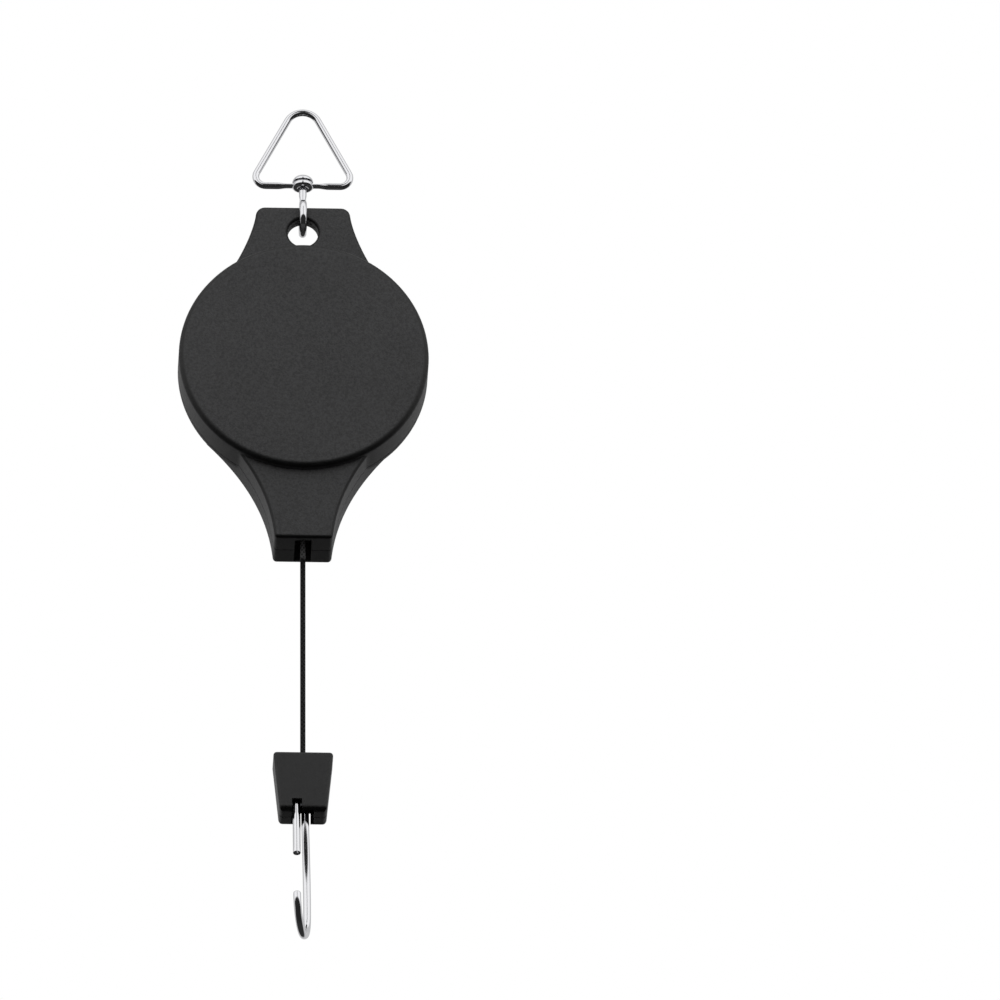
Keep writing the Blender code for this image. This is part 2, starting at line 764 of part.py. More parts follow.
def make_block_half(side, bodies, looks):
    """One half of the end block. side is -1 for the front half and 1 for the rear."""
    label = "front" if side < 0 else "rear"
    centre = drum(0, 0, 0)
    half = plate(f"block_blank_{label}", block_outline(), BLOCK_HALF_D, edge=BLOCK_EDGE)
    away = sorted((side * HALF_SEAM, -side * 0.05))
    chamber_low, chamber_high = FERRULE_BOTTOM_Z - GAP, FERRULE_TOP_Z + GAP
    pin = drum(0, 0, HOOK_PIN_Z)
    cut(
        half,
        box(f"block_seam_{label}", (-0.05, away[0], -0.2), (0.05, away[1], -0.1)),
        cylinder(f"block_cord_hole_{label}", 0.0014, -0.1430, -0.1300, centre, "UP", 16),
        cylinder(f"ferrule_chamber_{label}", FERRULE_R + GAP, chamber_low, chamber_high, centre, "UP", 24),
        cylinder(f"hook_pocket_{label}", HOOK_POCKET_R, -NOTCH_HALF_W, NOTCH_HALF_W, pin, "SIDE", 32),
        box(
            f"hook_notch_{label}",
            (-NOTCH_HALF_W, -0.01, BLOCK_BOTTOM_Z - 0.002),
            (NOTCH_HALF_W, 0.01, NOTCH_TOP_Z),
        ),
        cylinder(f"hook_pin_bore_{label}", HOOK_PIN_R + GAP, -0.0063, 0.0063, pin, "SIDE", 16),
    )
    hole_r = BLOCK_SHANK_R + GAP
    for i, x in enumerate((-BLOCK_SCREW_X, BLOCK_SCREW_X)):
        if side < 0:
            cut(half, front_post(f"block_pilot_{i}", hole_r, -0.0038, 0.001, x, BLOCK_SCREW_Z, 16))
        else:
            cut(half, front_post(f"block_hole_{i}", hole_r, -0.001, 0.02, x, BLOCK_SCREW_Z, 16))
            cut(half, front_post(f"block_head_seat_{i}", BLOCK_HEAD_R + GAP, 0.0045, 0.02, x, BLOCK_SCREW_Z, 20))
    as_part(half, f"block_{label}", looks["block"], bodies["block"])


def make_block(bodies, looks):
    make_block_half(-1, bodies, looks)
    make_block_half(1, bodies, looks)
    for i, x in enumerate((-BLOCK_SCREW_X, BLOCK_SCREW_X), start=1):
        screw = screw_shape(
            f"block_screw_{i}", x, BLOCK_SCREW_Z, 0.0048, 0.0080, BLOCK_HEAD_R, 0.0008, BLOCK_SHANK_R, 0.0008
        )
        as_part(screw, f"block_screw_{i}", looks["steel"], bodies["block"])
    pin = cylinder("hook_pin", HOOK_PIN_R, -0.0060, 0.0060, drum(0, 0, HOOK_PIN_Z), "SIDE", 16)
    as_part(pin, "hook_pin", looks["steel"], bodies["block"])


def hook_path():
    """Centre line of the hook's wire, from its cut end round the eye and the bow to its tip.

    The wire leans across X, so that the two strands of the eye lie side by side.
    """
    pin = HOOK_PIN_Z
    strand = bent((-0.0066, -0.1752), (-0.0046, -0.1660), (-HOOK_EYE_R, -0.1610), (-HOOK_EYE_R, pin), 8)
    path = [(-HOOK_STRAND_X, y, z) for y, z in strand]
    middle = (HOOK_SHANK_X - HOOK_STRAND_X) / 2
    half = (HOOK_SHANK_X + HOOK_STRAND_X) / 2
    for i in range(1, 13):
        angle = math.pi * i / 12
        turn = math.cos(angle)
        path.append((middle - half * turn, -HOOK_EYE_R * turn, pin + HOOK_EYE_R * math.sin(angle)))
    shank = bent((HOOK_EYE_R, pin), (HOOK_EYE_R, -0.1640), (BOW_R, -0.1740), (BOW_R, BOW_Z), 12)
    for y, z in shank[1:]:
        down = (y - HOOK_EYE_R) / (BOW_R - HOOK_EYE_R)
        path.append((HOOK_SHANK_X + (BOW_X - HOOK_SHANK_X) * down, y, z))
    bow_middle = (BOW_X - HOOK_STRAND_X) / 2
    bow_half = (BOW_X + HOOK_STRAND_X) / 2
    for i in range(1, 17):
        angle = math.pi * i / 16
        path.append((bow_middle + bow_half * math.cos(angle), BOW_R * math.cos(angle), BOW_Z - BOW_R * math.sin(angle)))
    return path


def make_hook(bodies, looks):
    hook = wire("hook_wire", hook_path(), HOOK_WIRE_R, drum(0, 0, 0))
    as_part(hook, "hook", looks["chrome"], bodies["hook"])


def main():
    clear_scene()
    new_collection(PARTS)
    new_collection(CUTTERS)
    looks = {
        "case": material("case_black", (0.040, 0.040, 0.042), 0.55),
        "block": material("block_black", (0.028, 0.028, 0.030), 0.50),
        "chrome": material("chrome", (0.78, 0.78, 0.80), 0.08, 1.0),
        "steel": material("plain_steel", (0.45, 0.45, 0.47), 0.35, 1.0),
        "spool": material("spool_grey", (0.30, 0.31, 0.33), 0.45),
        "bush": material("bush_white", (0.72, 0.71, 0.66), 0.40),
        "cord": material("cord_black", (0.012, 0.012, 0.013), 0.70),
    }
    bodies = {
        "ring": empty("ring_frame", Vector((0, 0, 0))),
        "swivel": empty("swivel_frame", drum(0, 0, RING_BAR_Z)),
        "casing": empty("casing_frame", drum(0, 0, SWIVEL_EYE_Z)),
        "spool": empty("spool_frame", drum(0, 0, 0)),
        "pawl": empty("pawl_frame", drum(PAWL_PIVOT[0], 0, PAWL_PIVOT[1])),
        "cord_end": empty("cord_end_frame", drum(0, 0, NECK_BOTTOM_Z)),
        "block": empty("block_frame", drum(0, 0, BLOCK_TOP_Z)),
        "hook": empty("hook_frame", drum(0, 0, HOOK_PIN_Z)),
    }
    make_ring(bodies, looks)
    make_swivel(bodies, looks)
    make_front_cover(bodies, looks)
    make_rear_cover(bodies, looks)
    make_case_screws(bodies, looks)
    make_axle(bodies, looks)
    make_spool(bodies, looks)
    make_mainspring(bodies, looks)
    make_pawl(bodies, looks)
    make_cord(bodies, looks)
    make_block(bodies, looks)
    make_hook(bodies, looks)


main()
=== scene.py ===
"""Looks of a retractable hanging reel: a spring reel in a two-part case, with a swivel ring above.

Its cord carries an end block with an open wire hook. Every object is in metres, +Z up, with the front
towards -Y. Places are measured from the middle of the drum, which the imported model's spool turns about.
"""

import json
import math

import bmesh
import bpy
from mathutils import Matrix, Vector
from mathutils.geometry import interpolate_bezier

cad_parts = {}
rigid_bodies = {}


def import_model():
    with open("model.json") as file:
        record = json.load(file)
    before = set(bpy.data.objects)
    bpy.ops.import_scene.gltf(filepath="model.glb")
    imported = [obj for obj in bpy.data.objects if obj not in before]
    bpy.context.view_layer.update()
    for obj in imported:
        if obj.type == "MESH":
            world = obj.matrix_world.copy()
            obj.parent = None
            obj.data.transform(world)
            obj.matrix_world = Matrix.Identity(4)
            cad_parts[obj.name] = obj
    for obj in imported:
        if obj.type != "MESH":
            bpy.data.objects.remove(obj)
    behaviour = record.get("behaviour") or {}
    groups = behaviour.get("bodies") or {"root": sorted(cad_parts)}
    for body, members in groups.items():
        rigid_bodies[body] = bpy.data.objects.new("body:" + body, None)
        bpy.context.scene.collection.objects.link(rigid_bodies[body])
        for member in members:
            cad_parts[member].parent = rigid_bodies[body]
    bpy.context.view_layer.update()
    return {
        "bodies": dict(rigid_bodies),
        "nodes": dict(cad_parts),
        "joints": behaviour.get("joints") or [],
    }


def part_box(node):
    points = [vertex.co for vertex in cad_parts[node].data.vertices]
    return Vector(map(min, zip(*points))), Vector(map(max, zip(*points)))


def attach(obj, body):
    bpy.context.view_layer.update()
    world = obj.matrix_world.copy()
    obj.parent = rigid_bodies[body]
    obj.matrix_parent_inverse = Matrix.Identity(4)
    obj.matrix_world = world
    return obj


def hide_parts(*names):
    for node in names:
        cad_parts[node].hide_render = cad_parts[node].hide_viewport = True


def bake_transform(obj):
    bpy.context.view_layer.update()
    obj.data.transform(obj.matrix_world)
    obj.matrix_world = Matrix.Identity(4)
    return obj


bl_info = {
    "name": "Hanging Reel Looks",
    "version": (1, 0, 0),
    "blender": (4, 5, 0),
    "location": "3D View > Sidebar > Hanging Reel",
    "description": "Builds the visible pieces, finishes and studio of a retractable hanging reel",
    "category": "Object",
}

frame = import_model()
JOINT_PLACES = {joint["name"]: Vector(joint.get("pos_m", (0, 0, 0))) for joint in frame["joints"]}
DRUM = JOINT_PLACES["spool_turn"]

# Points nearer than WELD are joined. SEAM is half the gap between two halves, GAP the play round a fitted
# piece, and CLEAR how far a cutter runs on past the surface it opens.
WELD = 0.000002
SEAM = 0.00015
GAP = 0.0003
CLEAR = 0.01
AXES = {
    "X": (Vector((1, 0, 0)), Vector((0, 0, 1))),
    "Y": (Vector((0, 1, 0)), Vector((1, 0, 0))),
    "Z": (Vector((0, 0, 1)), Vector((1, 0, 0))),
}

# The ring, its pressed eyelet, and the swivel's pin and eye.
RING_BAR_Z = 0.0666
RING_TOP_Z = 0.0942
RING_TOP_BEND = 0.0055
RING_CORNER_BEND = 0.0032
RING_HALF_WIDTH = 0.0162
PRESS_REACH = 0.0082
PRESS_FADE = 0.0034
PRESS_FLATTER = 0.42
PRESS_DEEPER = 0.12
EYELET_R = 0.0035
EYELET_HALF_H = 0.0011
EYELET_BORE_R = 0.0014
PIN_R = 0.00105
PIN_HEAD_R = 0.0033
PIN_HEAD_TOP_Z = 0.0702
EYE_Z = 0.0549
EYE_R = 0.0050

# The case: its outline, its seam, and what is cut from it.
DRUM_OVERRUN = 0.0010
NECK_OVERRUN = 0.0012
EAR_OVERRUN = 0.0014
NECK_TOP_HALF_W = 0.0290
NECK_FLANK = ((0.0305, -0.0225), (0.0206, -0.0325), (0.0110, -0.0458), (0.0093, -0.0640))
NECK_BOTTOM_Z = -0.0641
CAVITY_FLOOR_Z = -0.0490
EAR_TOP_Z = 0.0577
EAR_CORNER_X = 0.01215
EAR_CORNER_R = 0.0030
EAR_FLANK = ((0.0158, 0.0495), (0.0200, 0.0386), (0.0262, 0.0302))
EAR_FOOT = (0.0200, 0.0240)
EAR_HOLE_Z = 0.0486
EAR_HOLE_R = 0.0049
EAR_HOLE_EDGE = 0.0009
RIM_BACK = 0.0022
REAR_DRUM_R = 0.0376
REAR_DRUM_END_R = 0.0366
SLOT_HALF_W = 0.0027
SLOT_FRONT = 0.0070
SLOT_BACK = 0.0076
SLOT_TOP_Z = -0.0576
DRUM_SCREW_R = 0.0323
DRUM_SCREW_ANGLES = (45, 135)
NECK_SCREW = (0.0100, -0.0435)
POST_R = 0.0024
SHANK_R = 0.00105
HEAD_R = 0.0021
COUNTERBORE = 0.0014
AXLE_SCREW_R = 0.0012
AXLE_HEAD_R = 0.0027
AXLE_R = 0.0026
AXLE_SOCKET_R = 0.0044
AXLE_SOCKET_END_Y = -0.0074
AXLE_BORE_END_Y = -0.0093
AXLE_BOSS_R = 0.0070
AXLE_BOSS_Y = 0.0090
PILOT_END_Y = -0.0075
PAWL_PIVOT = (-0.0110, 0.0166)
PAWL_BORE_R = 0.0015
PAWL_BORE_Y = (-0.0111, -0.009)

# The cord's way out: a funnel, the guide's seat and the outlet. WIND_R is its mean radius on the spool.
FUNNEL_R = 0.0044
FUNNEL_TOP_Z = -0.0480
THROAT_R = 0.0020
THROAT_TOP_Z = -0.0503
OUTLET_R = 0.0019
OUTLET_BOTTOM_Z = -0.0600
GUIDE_TOP_Z = -0.0514
GUIDE_BOTTOM_Z = -0.0560
GUIDE_R = 0.0032
WIND_R = 0.0237
LEAVE_Y = 0.0040
WIND_PITCH = 0.0016

# Screws: how tall their heads are, and their thread.
CASE_HEAD_H = 0.0011
BLOCK_HEAD_H = 0.0008
BLOCK_SHANK_R = 0.0008
THREAD_PITCH = 0.0005
THREAD_STOP = 0.0008

# The end block and its bores, its opening for the hook's eye, and a slot for the wire in each half.
BLOCK_TOP_Z = -0.1386
BLOCK_BOTTOM_Z = -0.1593
BLOCK_TOP_HALF_W = 0.00965
BLOCK_BOTTOM_HALF_W = 0.00755
BLOCK_HALF_D = 0.00575
CORD_HOLE_R = 0.0014
CORD_HOLE_Z = (-0.1430, -0.1300)
FERRULE_R = 0.0022
FERRULE_TOP_Z = -0.1415
FERRULE_BOTTOM_Z = -0.1464
HOOK_PIN_R = 0.00115
HOOK_PIN_Z = -0.1540
PIN_BORE_HALF_W = 0.0063
POCKET_R = 0.0050
NOTCH_HALF_W = 0.0036
NOTCH_HALF_D = 0.0048
NOTCH_TOP_Z = -0.1550
SLOT_INNER_Y = 0.0040
SLOT_TOP_FRONT_Z = -0.1553
SLOT_TOP_REAR_Z = -0.1551
FRONT_SLOT_RIGHT_X = -0.0004
REAR_SLOT_LEFT_X = -0.0008
REAR_SLOT_RIGHT_X = 0.0026
BLOCK_SCREW = (0.0056, -0.1450)
BLOCK_PILOT_R = 0.0011
BLOCK_PILOT_END_Y = -0.0038
BLOCK_SEAT_R = 0.0019
BLOCK_SEAT_Y = 0.0045

# The hook's wire, from its free strand over the pin and down the shank to the bow. Pairs are (y, z).
HOOK_EYE_R = 0.0028
STRAND_TIP = (-0.0066, -0.1752)
STRAND_HANDLES = ((-0.0046, -0.1660), (-HOOK_EYE_R, -0.1610))
SHANK_HANDLES_Z = (-0.1640, -0.1740)
STRAND_X = 0.0021
SHANK_TOP_X = 0.0008
BOW_X = 0.00165
BOW_R = 0.0097
BOW_Z = -0.1903

# Camera: its angles in degrees, and how far it aims to the right of the drum's middle and below.
CAMERA_AZIMUTH = -1.75
CAMERA_ELEVATION = -27.0
AIM_RIGHT = 0.0631
AIM_BELOW = 0.0412
CLIP = (0.05, 120.0)
FLOOR_HALF_W = 30.0

# Brightness of the studio's screens and of the wall behind, as the metal shows them.
SCREEN_LEVEL = 1.05
WALL_LEVEL = 0.60


def at(x, y, z):
    """A point given from the middle of the drum."""
    return DRUM + Vector((x, y, z))


# Settings


def length(name, description, default):
    return bpy.props.FloatProperty(
        name=name,
        description=description,
        default=default,
        min=0.0,
        precision=5,
        unit="LENGTH",
        subtype="DISTANCE",
    )


def colour(name, description, default):
    return bpy.props.FloatVectorProperty(
        name=name, description=description, default=default, size=3, min=0.0, max=1.0, subtype="COLOR"
    )


def share(name, description, default, top=1.0):
    return bpy.props.FloatProperty(name=name, description=description, default=default, min=0.0, max=top)


class ReelCaseSettings(bpy.types.PropertyGroup):
    """Sizes and finish of the case and the end block."""

    drum_radius: length("Drum radius", "Radius of the round case", 0.0400)
    drum_depth: length("Drum depth", "From the seam to the drum's face", 0.0120)
    face_fillet: length("Face fillet", "Rounding of the drum's front edge", 0.0020)
    back_fillet: length("Back fillet", "Rounding of the drum's back edge", 0.0016)
    neck_depth: length("Neck depth", "From the seam to the neck's face", 0.0093)
    neck_edge: length("Neck edge", "Rounding of the neck's edges", 0.0011)
    ear_depth: length("Ear depth", "From the seam to the ear's face", 0.0028)
    ear_edge: length("Ear edge", "Rounding of the ear's edges", 0.0010)
    wall: length("Wall", "Thickness of the mouldings", 0.0020)
    block_edge: length("Block edge", "Rounding of the end block's lower front edge", 0.0018)
    round_steps: bpy.props.IntProperty(
        name="Round steps", description="Steps round the drum", default=144, min=24, max=256
    )
    colour: colour("Case colour", "Plastic of the case", (0.0235, 0.0235, 0.0242))
    # The rear half's darker colour is painted shade: the same plastic, darkened as if that half lay in
    # shadow.
    rear_shaded_colour: colour("Rear shaded colour", "Plastic of the rear half, darkened as painted shade", (0.016, 0.016, 0.0165))
    block_colour: colour("Block colour", "Plastic of the end block", (0.0095, 0.0095, 0.0098))
    grain: length("Grain", "Width of one grain of the moulded surface", 0.00045)


class ReelWireSettings(bpy.types.PropertyGroup):
    """Sizes and finish of the metal wire pieces."""

    ring_radius: length("Ring wire radius", "Half the ring's wire", 0.0011)
    eye_radius: length("Eye wire radius", "Half the swivel eye's wire", 0.0012)
    hook_radius: length("Hook wire radius", "Half the hook's wire", 0.00125)
    sides: bpy.props.IntProperty(name="Sides", description="Points round a wire", default=24, min=8, max=64)
    colour: colour("Chrome colour", "Tint of the plated wire", (0.88, 0.885, 0.90))
    roughness: share("Chrome roughness", "How soft the wire's reflections are", 0.055)


class ReelCordSettings(bpy.types.PropertyGroup):
    """Sizes and finish of the cord."""

    diameter: length("Cord diameter", "Thickness of the braided cord", 0.0017)
    turns: bpy.props.IntProperty(name="Turns", description="Turns left on the spool", default=5, min=1, max=6)
    plait: length("Plait", "Length of one crossing of the braid", 0.0016)
    colour: colour("Cord colour", "Dyed nylon of the cord", (0.006, 0.006, 0.0064))
    # The paler colour near the outlet is a painted highlight on the free cord's first stretch.
    painted_highlight_colour: colour("Worn colour", "Cord where it runs through the outlet", (0.13, 0.13, 0.13))
    painted_highlight_length: length("Painted highlight length", "How far down the free cord its paler part reaches", 0.0157)


class ReelStageSettings(bpy.types.PropertyGroup):
    """Floor, lights and camera."""

    floor_colour: colour("Floor colour", "Plain floor below the reel", (0.80, 0.80, 0.80))
    floor_drop: length("Floor drop", "How far the floor lies below the hang point", 7.00)
    camera_distance: length("Camera distance", "From the camera to the drum", 12.00)
    camera_lens: bpy.props.FloatProperty(
        name="Focal length", description="Focal length of the camera", default=1350.0, min=20.0, unit="CAMERA"
    )
    front_light: share("Front light", "Power of the large light above the camera, in watts", 0.85, 200.0)
    side_light: share("Side lights", "Power of each light at the side, in watts", 4.0, 200.0)
    fill: share("Fill", "Strength of the room's own soft light", 0.6, 10.0)


# Mesh helpers


def piece_from(shape, name):
    """Makes an object of a bmesh, closed and facing outwards."""
    bmesh.ops.remove_doubles(shape, verts=shape.verts, dist=WELD)
    bmesh.ops.recalc_face_normals(shape, faces=shape.faces)
    mesh = bpy.data.meshes.new(name)
    shape.to_mesh(mesh)
    shape.free()
    made = bpy.data.objects.new(name, mesh)
    bpy.context.scene.collection.objects.link(made)
    return made


def settle(target):
    """Applies a piece's modifiers to its mesh."""
    bpy.context.view_layer.update()
    graph = bpy.context.evaluated_depsgraph_get()
    mesh = bpy.data.meshes.new_from_object(target.evaluated_get(graph))
    old = target.data
    target.modifiers.clear()
    target.data = mesh
    bpy.data.meshes.remove(old)
    mesh.name = target.name
    return target


def carve(target, operation, tools):
    """Joins tools to a piece, or cuts them from it, and removes them."""
    for tool in tools:
        modifier = target.modifiers.new(tool.name, "BOOLEAN")
        modifier.operation = operation
        modifier.solver = "EXACT"
        modifier.object = tool
    settle(target)
    for tool in tools:
        bpy.data.meshes.remove(tool.data)
    return target


def spun(name, profile, centre, about="Y", steps=48, closed=False):
    """A profile of (radius, height) points turned right round an axis. A closed one makes a ring."""
    axis, out = AXES[about]
    shape = bmesh.new()
    points = [shape.verts.new(centre + axis * height + out * radius) for radius, height in profile]
    pairs = list(zip(points, points[1:]))
    if closed:
        pairs.append((points[-1], points[0]))
    geom = points + [shape.edges.new(pair) for pair in pairs]
    turn = {"cent": centre, "axis": axis, "dvec": (0, 0, 0), "angle": math.tau, "use_merge": True}
    bmesh.ops.spin(shape, geom=geom, steps=steps, **turn)
    return piece_from(shape, name)


def rod(name, radius, low, high, centre, about="Y", steps=24):
    """A plain round bar or bore between two heights along its axis."""
    return spun(name, [(0, low), (radius, low), (radius, high), (0, high)], centre, about, steps)


def slab(name, low, high):
    """A plain block between two corners, used to cut with."""
    shape = bmesh.new()
    bmesh.ops.create_cube(shape, size=1.0)
    bmesh.ops.scale(shape, vec=high - low, verts=shape.verts)
    bmesh.ops.translate(shape, vec=(low + high) / 2, verts=shape.verts)
    return piece_from(shape, name)


def extruded(outline, face_y, seam_y):
    """An outline of (x, z) points made solid, from its outer face to the seam. Gives the face's edges too."""
    shape = bmesh.new()
    face = shape.faces.new([shape.verts.new(at(x, face_y, z)) for x, z in outline])
    rim = list(face.edges)
    grown = bmesh.ops.extrude_face_region(shape, geom=[face], use_keep_orig=True)["geom"]
    moved = [item for item in grown if isinstance(item, bmesh.types.BMVert)]
    bmesh.ops.translate(shape, vec=(0, seam_y - face_y, 0), verts=moved)
    return shape, rim


def plate(name, outline, face_y, seam_y, edge=0.0):
    """An outline of (x, z) points made a plate, with a rounded edge round its outer face."""
    shape, rim = extruded(outline, face_y, seam_y)
    if edge:
        rounding = {"offset_type": "OFFSET", "segments": 4, "profile": 0.5, "affect": "EDGES"}
        bmesh.ops.bevel(shape, geom=rim, offset=edge, clamp_overlap=True, material=-1, **rounding)
    return piece_from(shape, name)


def frames_along(path, closed):
    """A turn-free frame at each point of a path, as matrices whose Z follows the path."""
    count = len(path)
    tangents = []
    for i, point in enumerate(path):
        before = path[i - 1] if (closed or i > 0) else point
        after = path[(i + 1) % count] if (closed or i < count - 1) else point
        tangents.append((after - before).normalized())
    side = tangents[0].orthogonal().normalized()
    frames = []
    for point, tangent in zip(path, tangents):
        side = (side - tangent * side.dot(tangent)).normalized()
        rows = Matrix((side, tangent.cross(side), tangent)).transposed()
        frames.append(Matrix.Translation(point) @ rows.to_4x4())
    return frames


def swept(name, path, radius, sides, closed=False, tips=(0, 0), squeeze=None):
    """A round wire: a circle extruded and turned from point to point of a path. It stores its surface's lay.

    tips says how far each end is rounded off. squeeze gives the wire's height and depth at a point, as
    shares of its full size.
    """
    frames = frames_along(path, closed)
    shape = bmesh.new()
    lay = shape.verts.layers.float_vector.new("lay")
    loop = bmesh.ops.create_circle(shape, segments=sides, radius=1.0)["verts"]
    flat = {vert: vert.co.copy() for vert in loop}
    edges = [edge for edge in shape.edges if edge.verts[0] in flat and edge.verts[1] in flat]
    stations = [(place, radius, 0.0) for place in frames]
    if not closed:
        for end, depth in zip((0, -1), tips):
            steps = max(2, round(depth / radius * 6)) if depth else 0
            rounded = []
            for i in range(1, steps + 1):
                angle = math.pi / 2 * i / steps
                slip = depth * math.sin(angle) - depth
                size = radius - depth + depth * math.cos(angle)
                rounded.append((frames[end], max(size, radius * 0.02), slip if end else -slip))
            if rounded:
                stations[end] = (frames[end], radius, -depth if end else depth)
                stations = stations + rounded if end else rounded[::-1] + stations
    first = edges
    travelled, last = 0.0, None
    for number, (place, size, slip) in enumerate(stations):
        centre = place @ Vector((0, 0, slip))
        travelled += (centre - last).length if last is not None else 0.0
        last = centre
        if number:
            grown = bmesh.ops.extrude_edge_only(shape, edges=edges)["geom"]
            fresh = [item for item in grown if isinstance(item, bmesh.types.BMVert)]
            edges = [item for item in grown if isinstance(item, bmesh.types.BMEdge)]
            paired = {}
            for vert in fresh:
                others = [edge.other_vert(vert) for edge in vert.link_edges]
                paired[vert] = next(flat[other] for other in others if other in flat)
            flat = paired
        high, deep = squeeze(centre) if squeeze else (1.0, 1.0)
        turn = place.to_3x3()
        for vert, ring_place in flat.items():
            offset = turn @ (ring_place * size)
            offset.z *= high
            offset.y *= deep
            vert.co = centre + offset
            vert[lay] = (ring_place.x, ring_place.y, travelled)
    if closed:
        bmesh.ops.bridge_loops(shape, edges=first + edges)
    else:
        bmesh.ops.contextual_create(shape, geom=first)
        bmesh.ops.contextual_create(shape, geom=edges)
    return piece_from(shape, name)


def arc(centre_x, centre_z, radius, start, end, count):
    """Points on an arc from one angle to another, in degrees."""
    angles = [math.radians(start + (end - start) * i / count) for i in range(count + 1)]
    return [(centre_x + radius * math.cos(angle), centre_z + radius * math.sin(angle)) for angle in angles]


def bent(start, start_handle, end_handle, end, count):
    """Points on a cubic bend between two points."""
    knots = [Vector((*point, 0)) for point in (start, start_handle, end_handle, end)]
    return [(point.x, point.y) for point in interpolate_bezier(*knots, count)]


def both_sides(right):
    """A closed outline from its right half, given from top to bottom."""
    return right + [(-x, z) for x, z in reversed(right)]


def finished(piece, look, body, stands_for=(), sharp_above=32, even=True):
    """Gives a piece its look, smooth round faces and the body it rides on."""
    piece.data.materials.clear()
    piece.data.materials.append(bpy.data.materials[look])
    piece.data.shade_smooth()
    piece.data.set_sharp_from_angle(angle=math.radians(sharp_above))
    if even:
        normals = piece.modifiers.new("even_normals", "WEIGHTED_NORMAL")
        normals.keep_sharp = True
        normals.weight = 60
    if stands_for:
        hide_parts(*stands_for)
    if body:
        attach(piece, body)
    return piece


# Finishes


def put(tree, kind, inputs=None, **settings):
    """Adds a shader node, and gives its inputs values or links."""
    made = tree.nodes.new("ShaderNode" + kind)
    for name, value in settings.items():
        setattr(made, name, value)
    for key, value in (inputs or {}).items():
        if isinstance(value, bpy.types.NodeSocket):
            tree.links.new(value, made.inputs[key])
        else:
            made.inputs[key].default_value = value
    return made


def calc(tree, operation, a, b=0.0, c=0.0):
    return put(tree, "Math", {0: a, 1: b, 2: c}, operation=operation).outputs[0]


def spread(tree, value, low, high, to_low=0.0, to_high=1.0):
    """A value's range stretched to another, and held inside it."""
    inputs = {"Value": value, "From Min": low, "From Max": high, "To Min": to_low, "To Max": to_high}
    return put(tree, "MapRange", inputs).outputs["Result"]


def mixed(tree, amount, first, second):
    return put(tree, "Mix", {0: amount, 6: first, 7: second}, data_type="RGBA").outputs[2]


def scaled(tree, tint, level):
    return put(tree, "VectorMath", {0: tint, "Scale": level}, operation="SCALE").outputs[0]


def own_place(tree):
    """The place on the object, in its own coordinates."""
    return put(tree, "TexCoord").outputs["Object"]


def noise(tree, place, scale, detail=2.0, roughness=0.5):
    inputs = {"Vector": place, "Scale": scale, "Detail": detail, "Roughness": roughness}
    return put(tree, "TexNoise", inputs).outputs["Fac"]


def new_group(name, inputs):
    """A shader node group that puts out a colour, a roughness and a height. Gives its tree and its inputs."""
    tree = bpy.data.node_groups.new(name, "ShaderNodeTree")
    for label, default in inputs.items():
        kind = "NodeSocketColor" if isinstance(default, tuple) else "NodeSocketFloat"
        tree.interface.new_socket(label, in_out="INPUT", socket_type=kind).default_value = default
    for label, kind in (("Colour", "Color"), ("Roughness", "Float"), ("Height", "Float")):
        tree.interface.new_socket(label, in_out="OUTPUT", socket_type=f"NodeSocket{kind}")
    return tree, tree.nodes.new("NodeGroupInput").outputs


def end_group(tree, tint, rough, height):
    given_out = tree.nodes.new("NodeGroupOutput").inputs
    for label, value in (("Colour", tint), ("Roughness", rough), ("Height", height)):
        tree.links.new(value, given_out[label])


def make_moulded_grain():
    """Spark-eroded grain of a moulding, with mottling and flow shade; its rounded edges are darkened by
    painted shade.
    """
    inputs = {"Colour": (0.03, 0.03, 0.03, 1), "Grains per Metre": 2200.0, "Contrast": 0.3, "Roughness": 0.5}
    tree, given = new_group("moulded_grain", {**inputs, "Edge Shade": 0.0})
    place, grains = own_place(tree), given["Grains per Metre"]
    fine = noise(tree, place, grains, 3.0, 0.55)
    pit_scale = calc(tree, "MULTIPLY", grains, 0.8)
    pits = put(tree, "TexVoronoi", {"Vector": place, "Scale": pit_scale}).outputs["Distance"]
    patches = noise(tree, place, calc(tree, "MULTIPLY", grains, 0.5), 2.0, 0.6)
    broad = noise(tree, place, 38.0)
    mottle = spread(tree, patches, 0.35, 0.65, -0.9, 0.9)
    shade = calc(tree, "ADD", spread(tree, fine, 0.32, 0.68, -0.5, 0.5), mottle)
    shade = calc(tree, "ADD", shade, spread(tree, broad, 0.3, 0.7, -0.2, 0.2))
    # Painted shade: the colour is darkened where the normal turns between facing front and facing sideways,
    # on the rounded edges.
    normal = put(tree, "TexCoord").outputs["Normal"]
    facing = put(tree, "SeparateXYZ", {0: normal}).outputs["Y"]
    square = calc(tree, "MULTIPLY", facing, facing)
    rounded = calc(tree, "MULTIPLY", calc(tree, "SUBTRACT", 1.0, square), calc(tree, "MULTIPLY", square, 4.0))
    level = calc(tree, "MULTIPLY_ADD", shade, given["Contrast"], 1.0)
    rounded = calc(tree, "MINIMUM", calc(tree, "MULTIPLY", rounded, 1.6), 1.0)
    kept = calc(tree, "SUBTRACT", 1.0, calc(tree, "MULTIPLY", rounded, given["Edge Shade"]))
    level = calc(tree, "MULTIPLY", level, kept)
    rough = calc(tree, "MULTIPLY_ADD", spread(tree, patches, 0.3, 0.7, -0.5, 0.5), 0.14, given["Roughness"])
    height = calc(tree, "ADD", fine, calc(tree, "MULTIPLY", pits, 0.45))
    end_group(tree, scaled(tree, given["Colour"], level), rough, height)


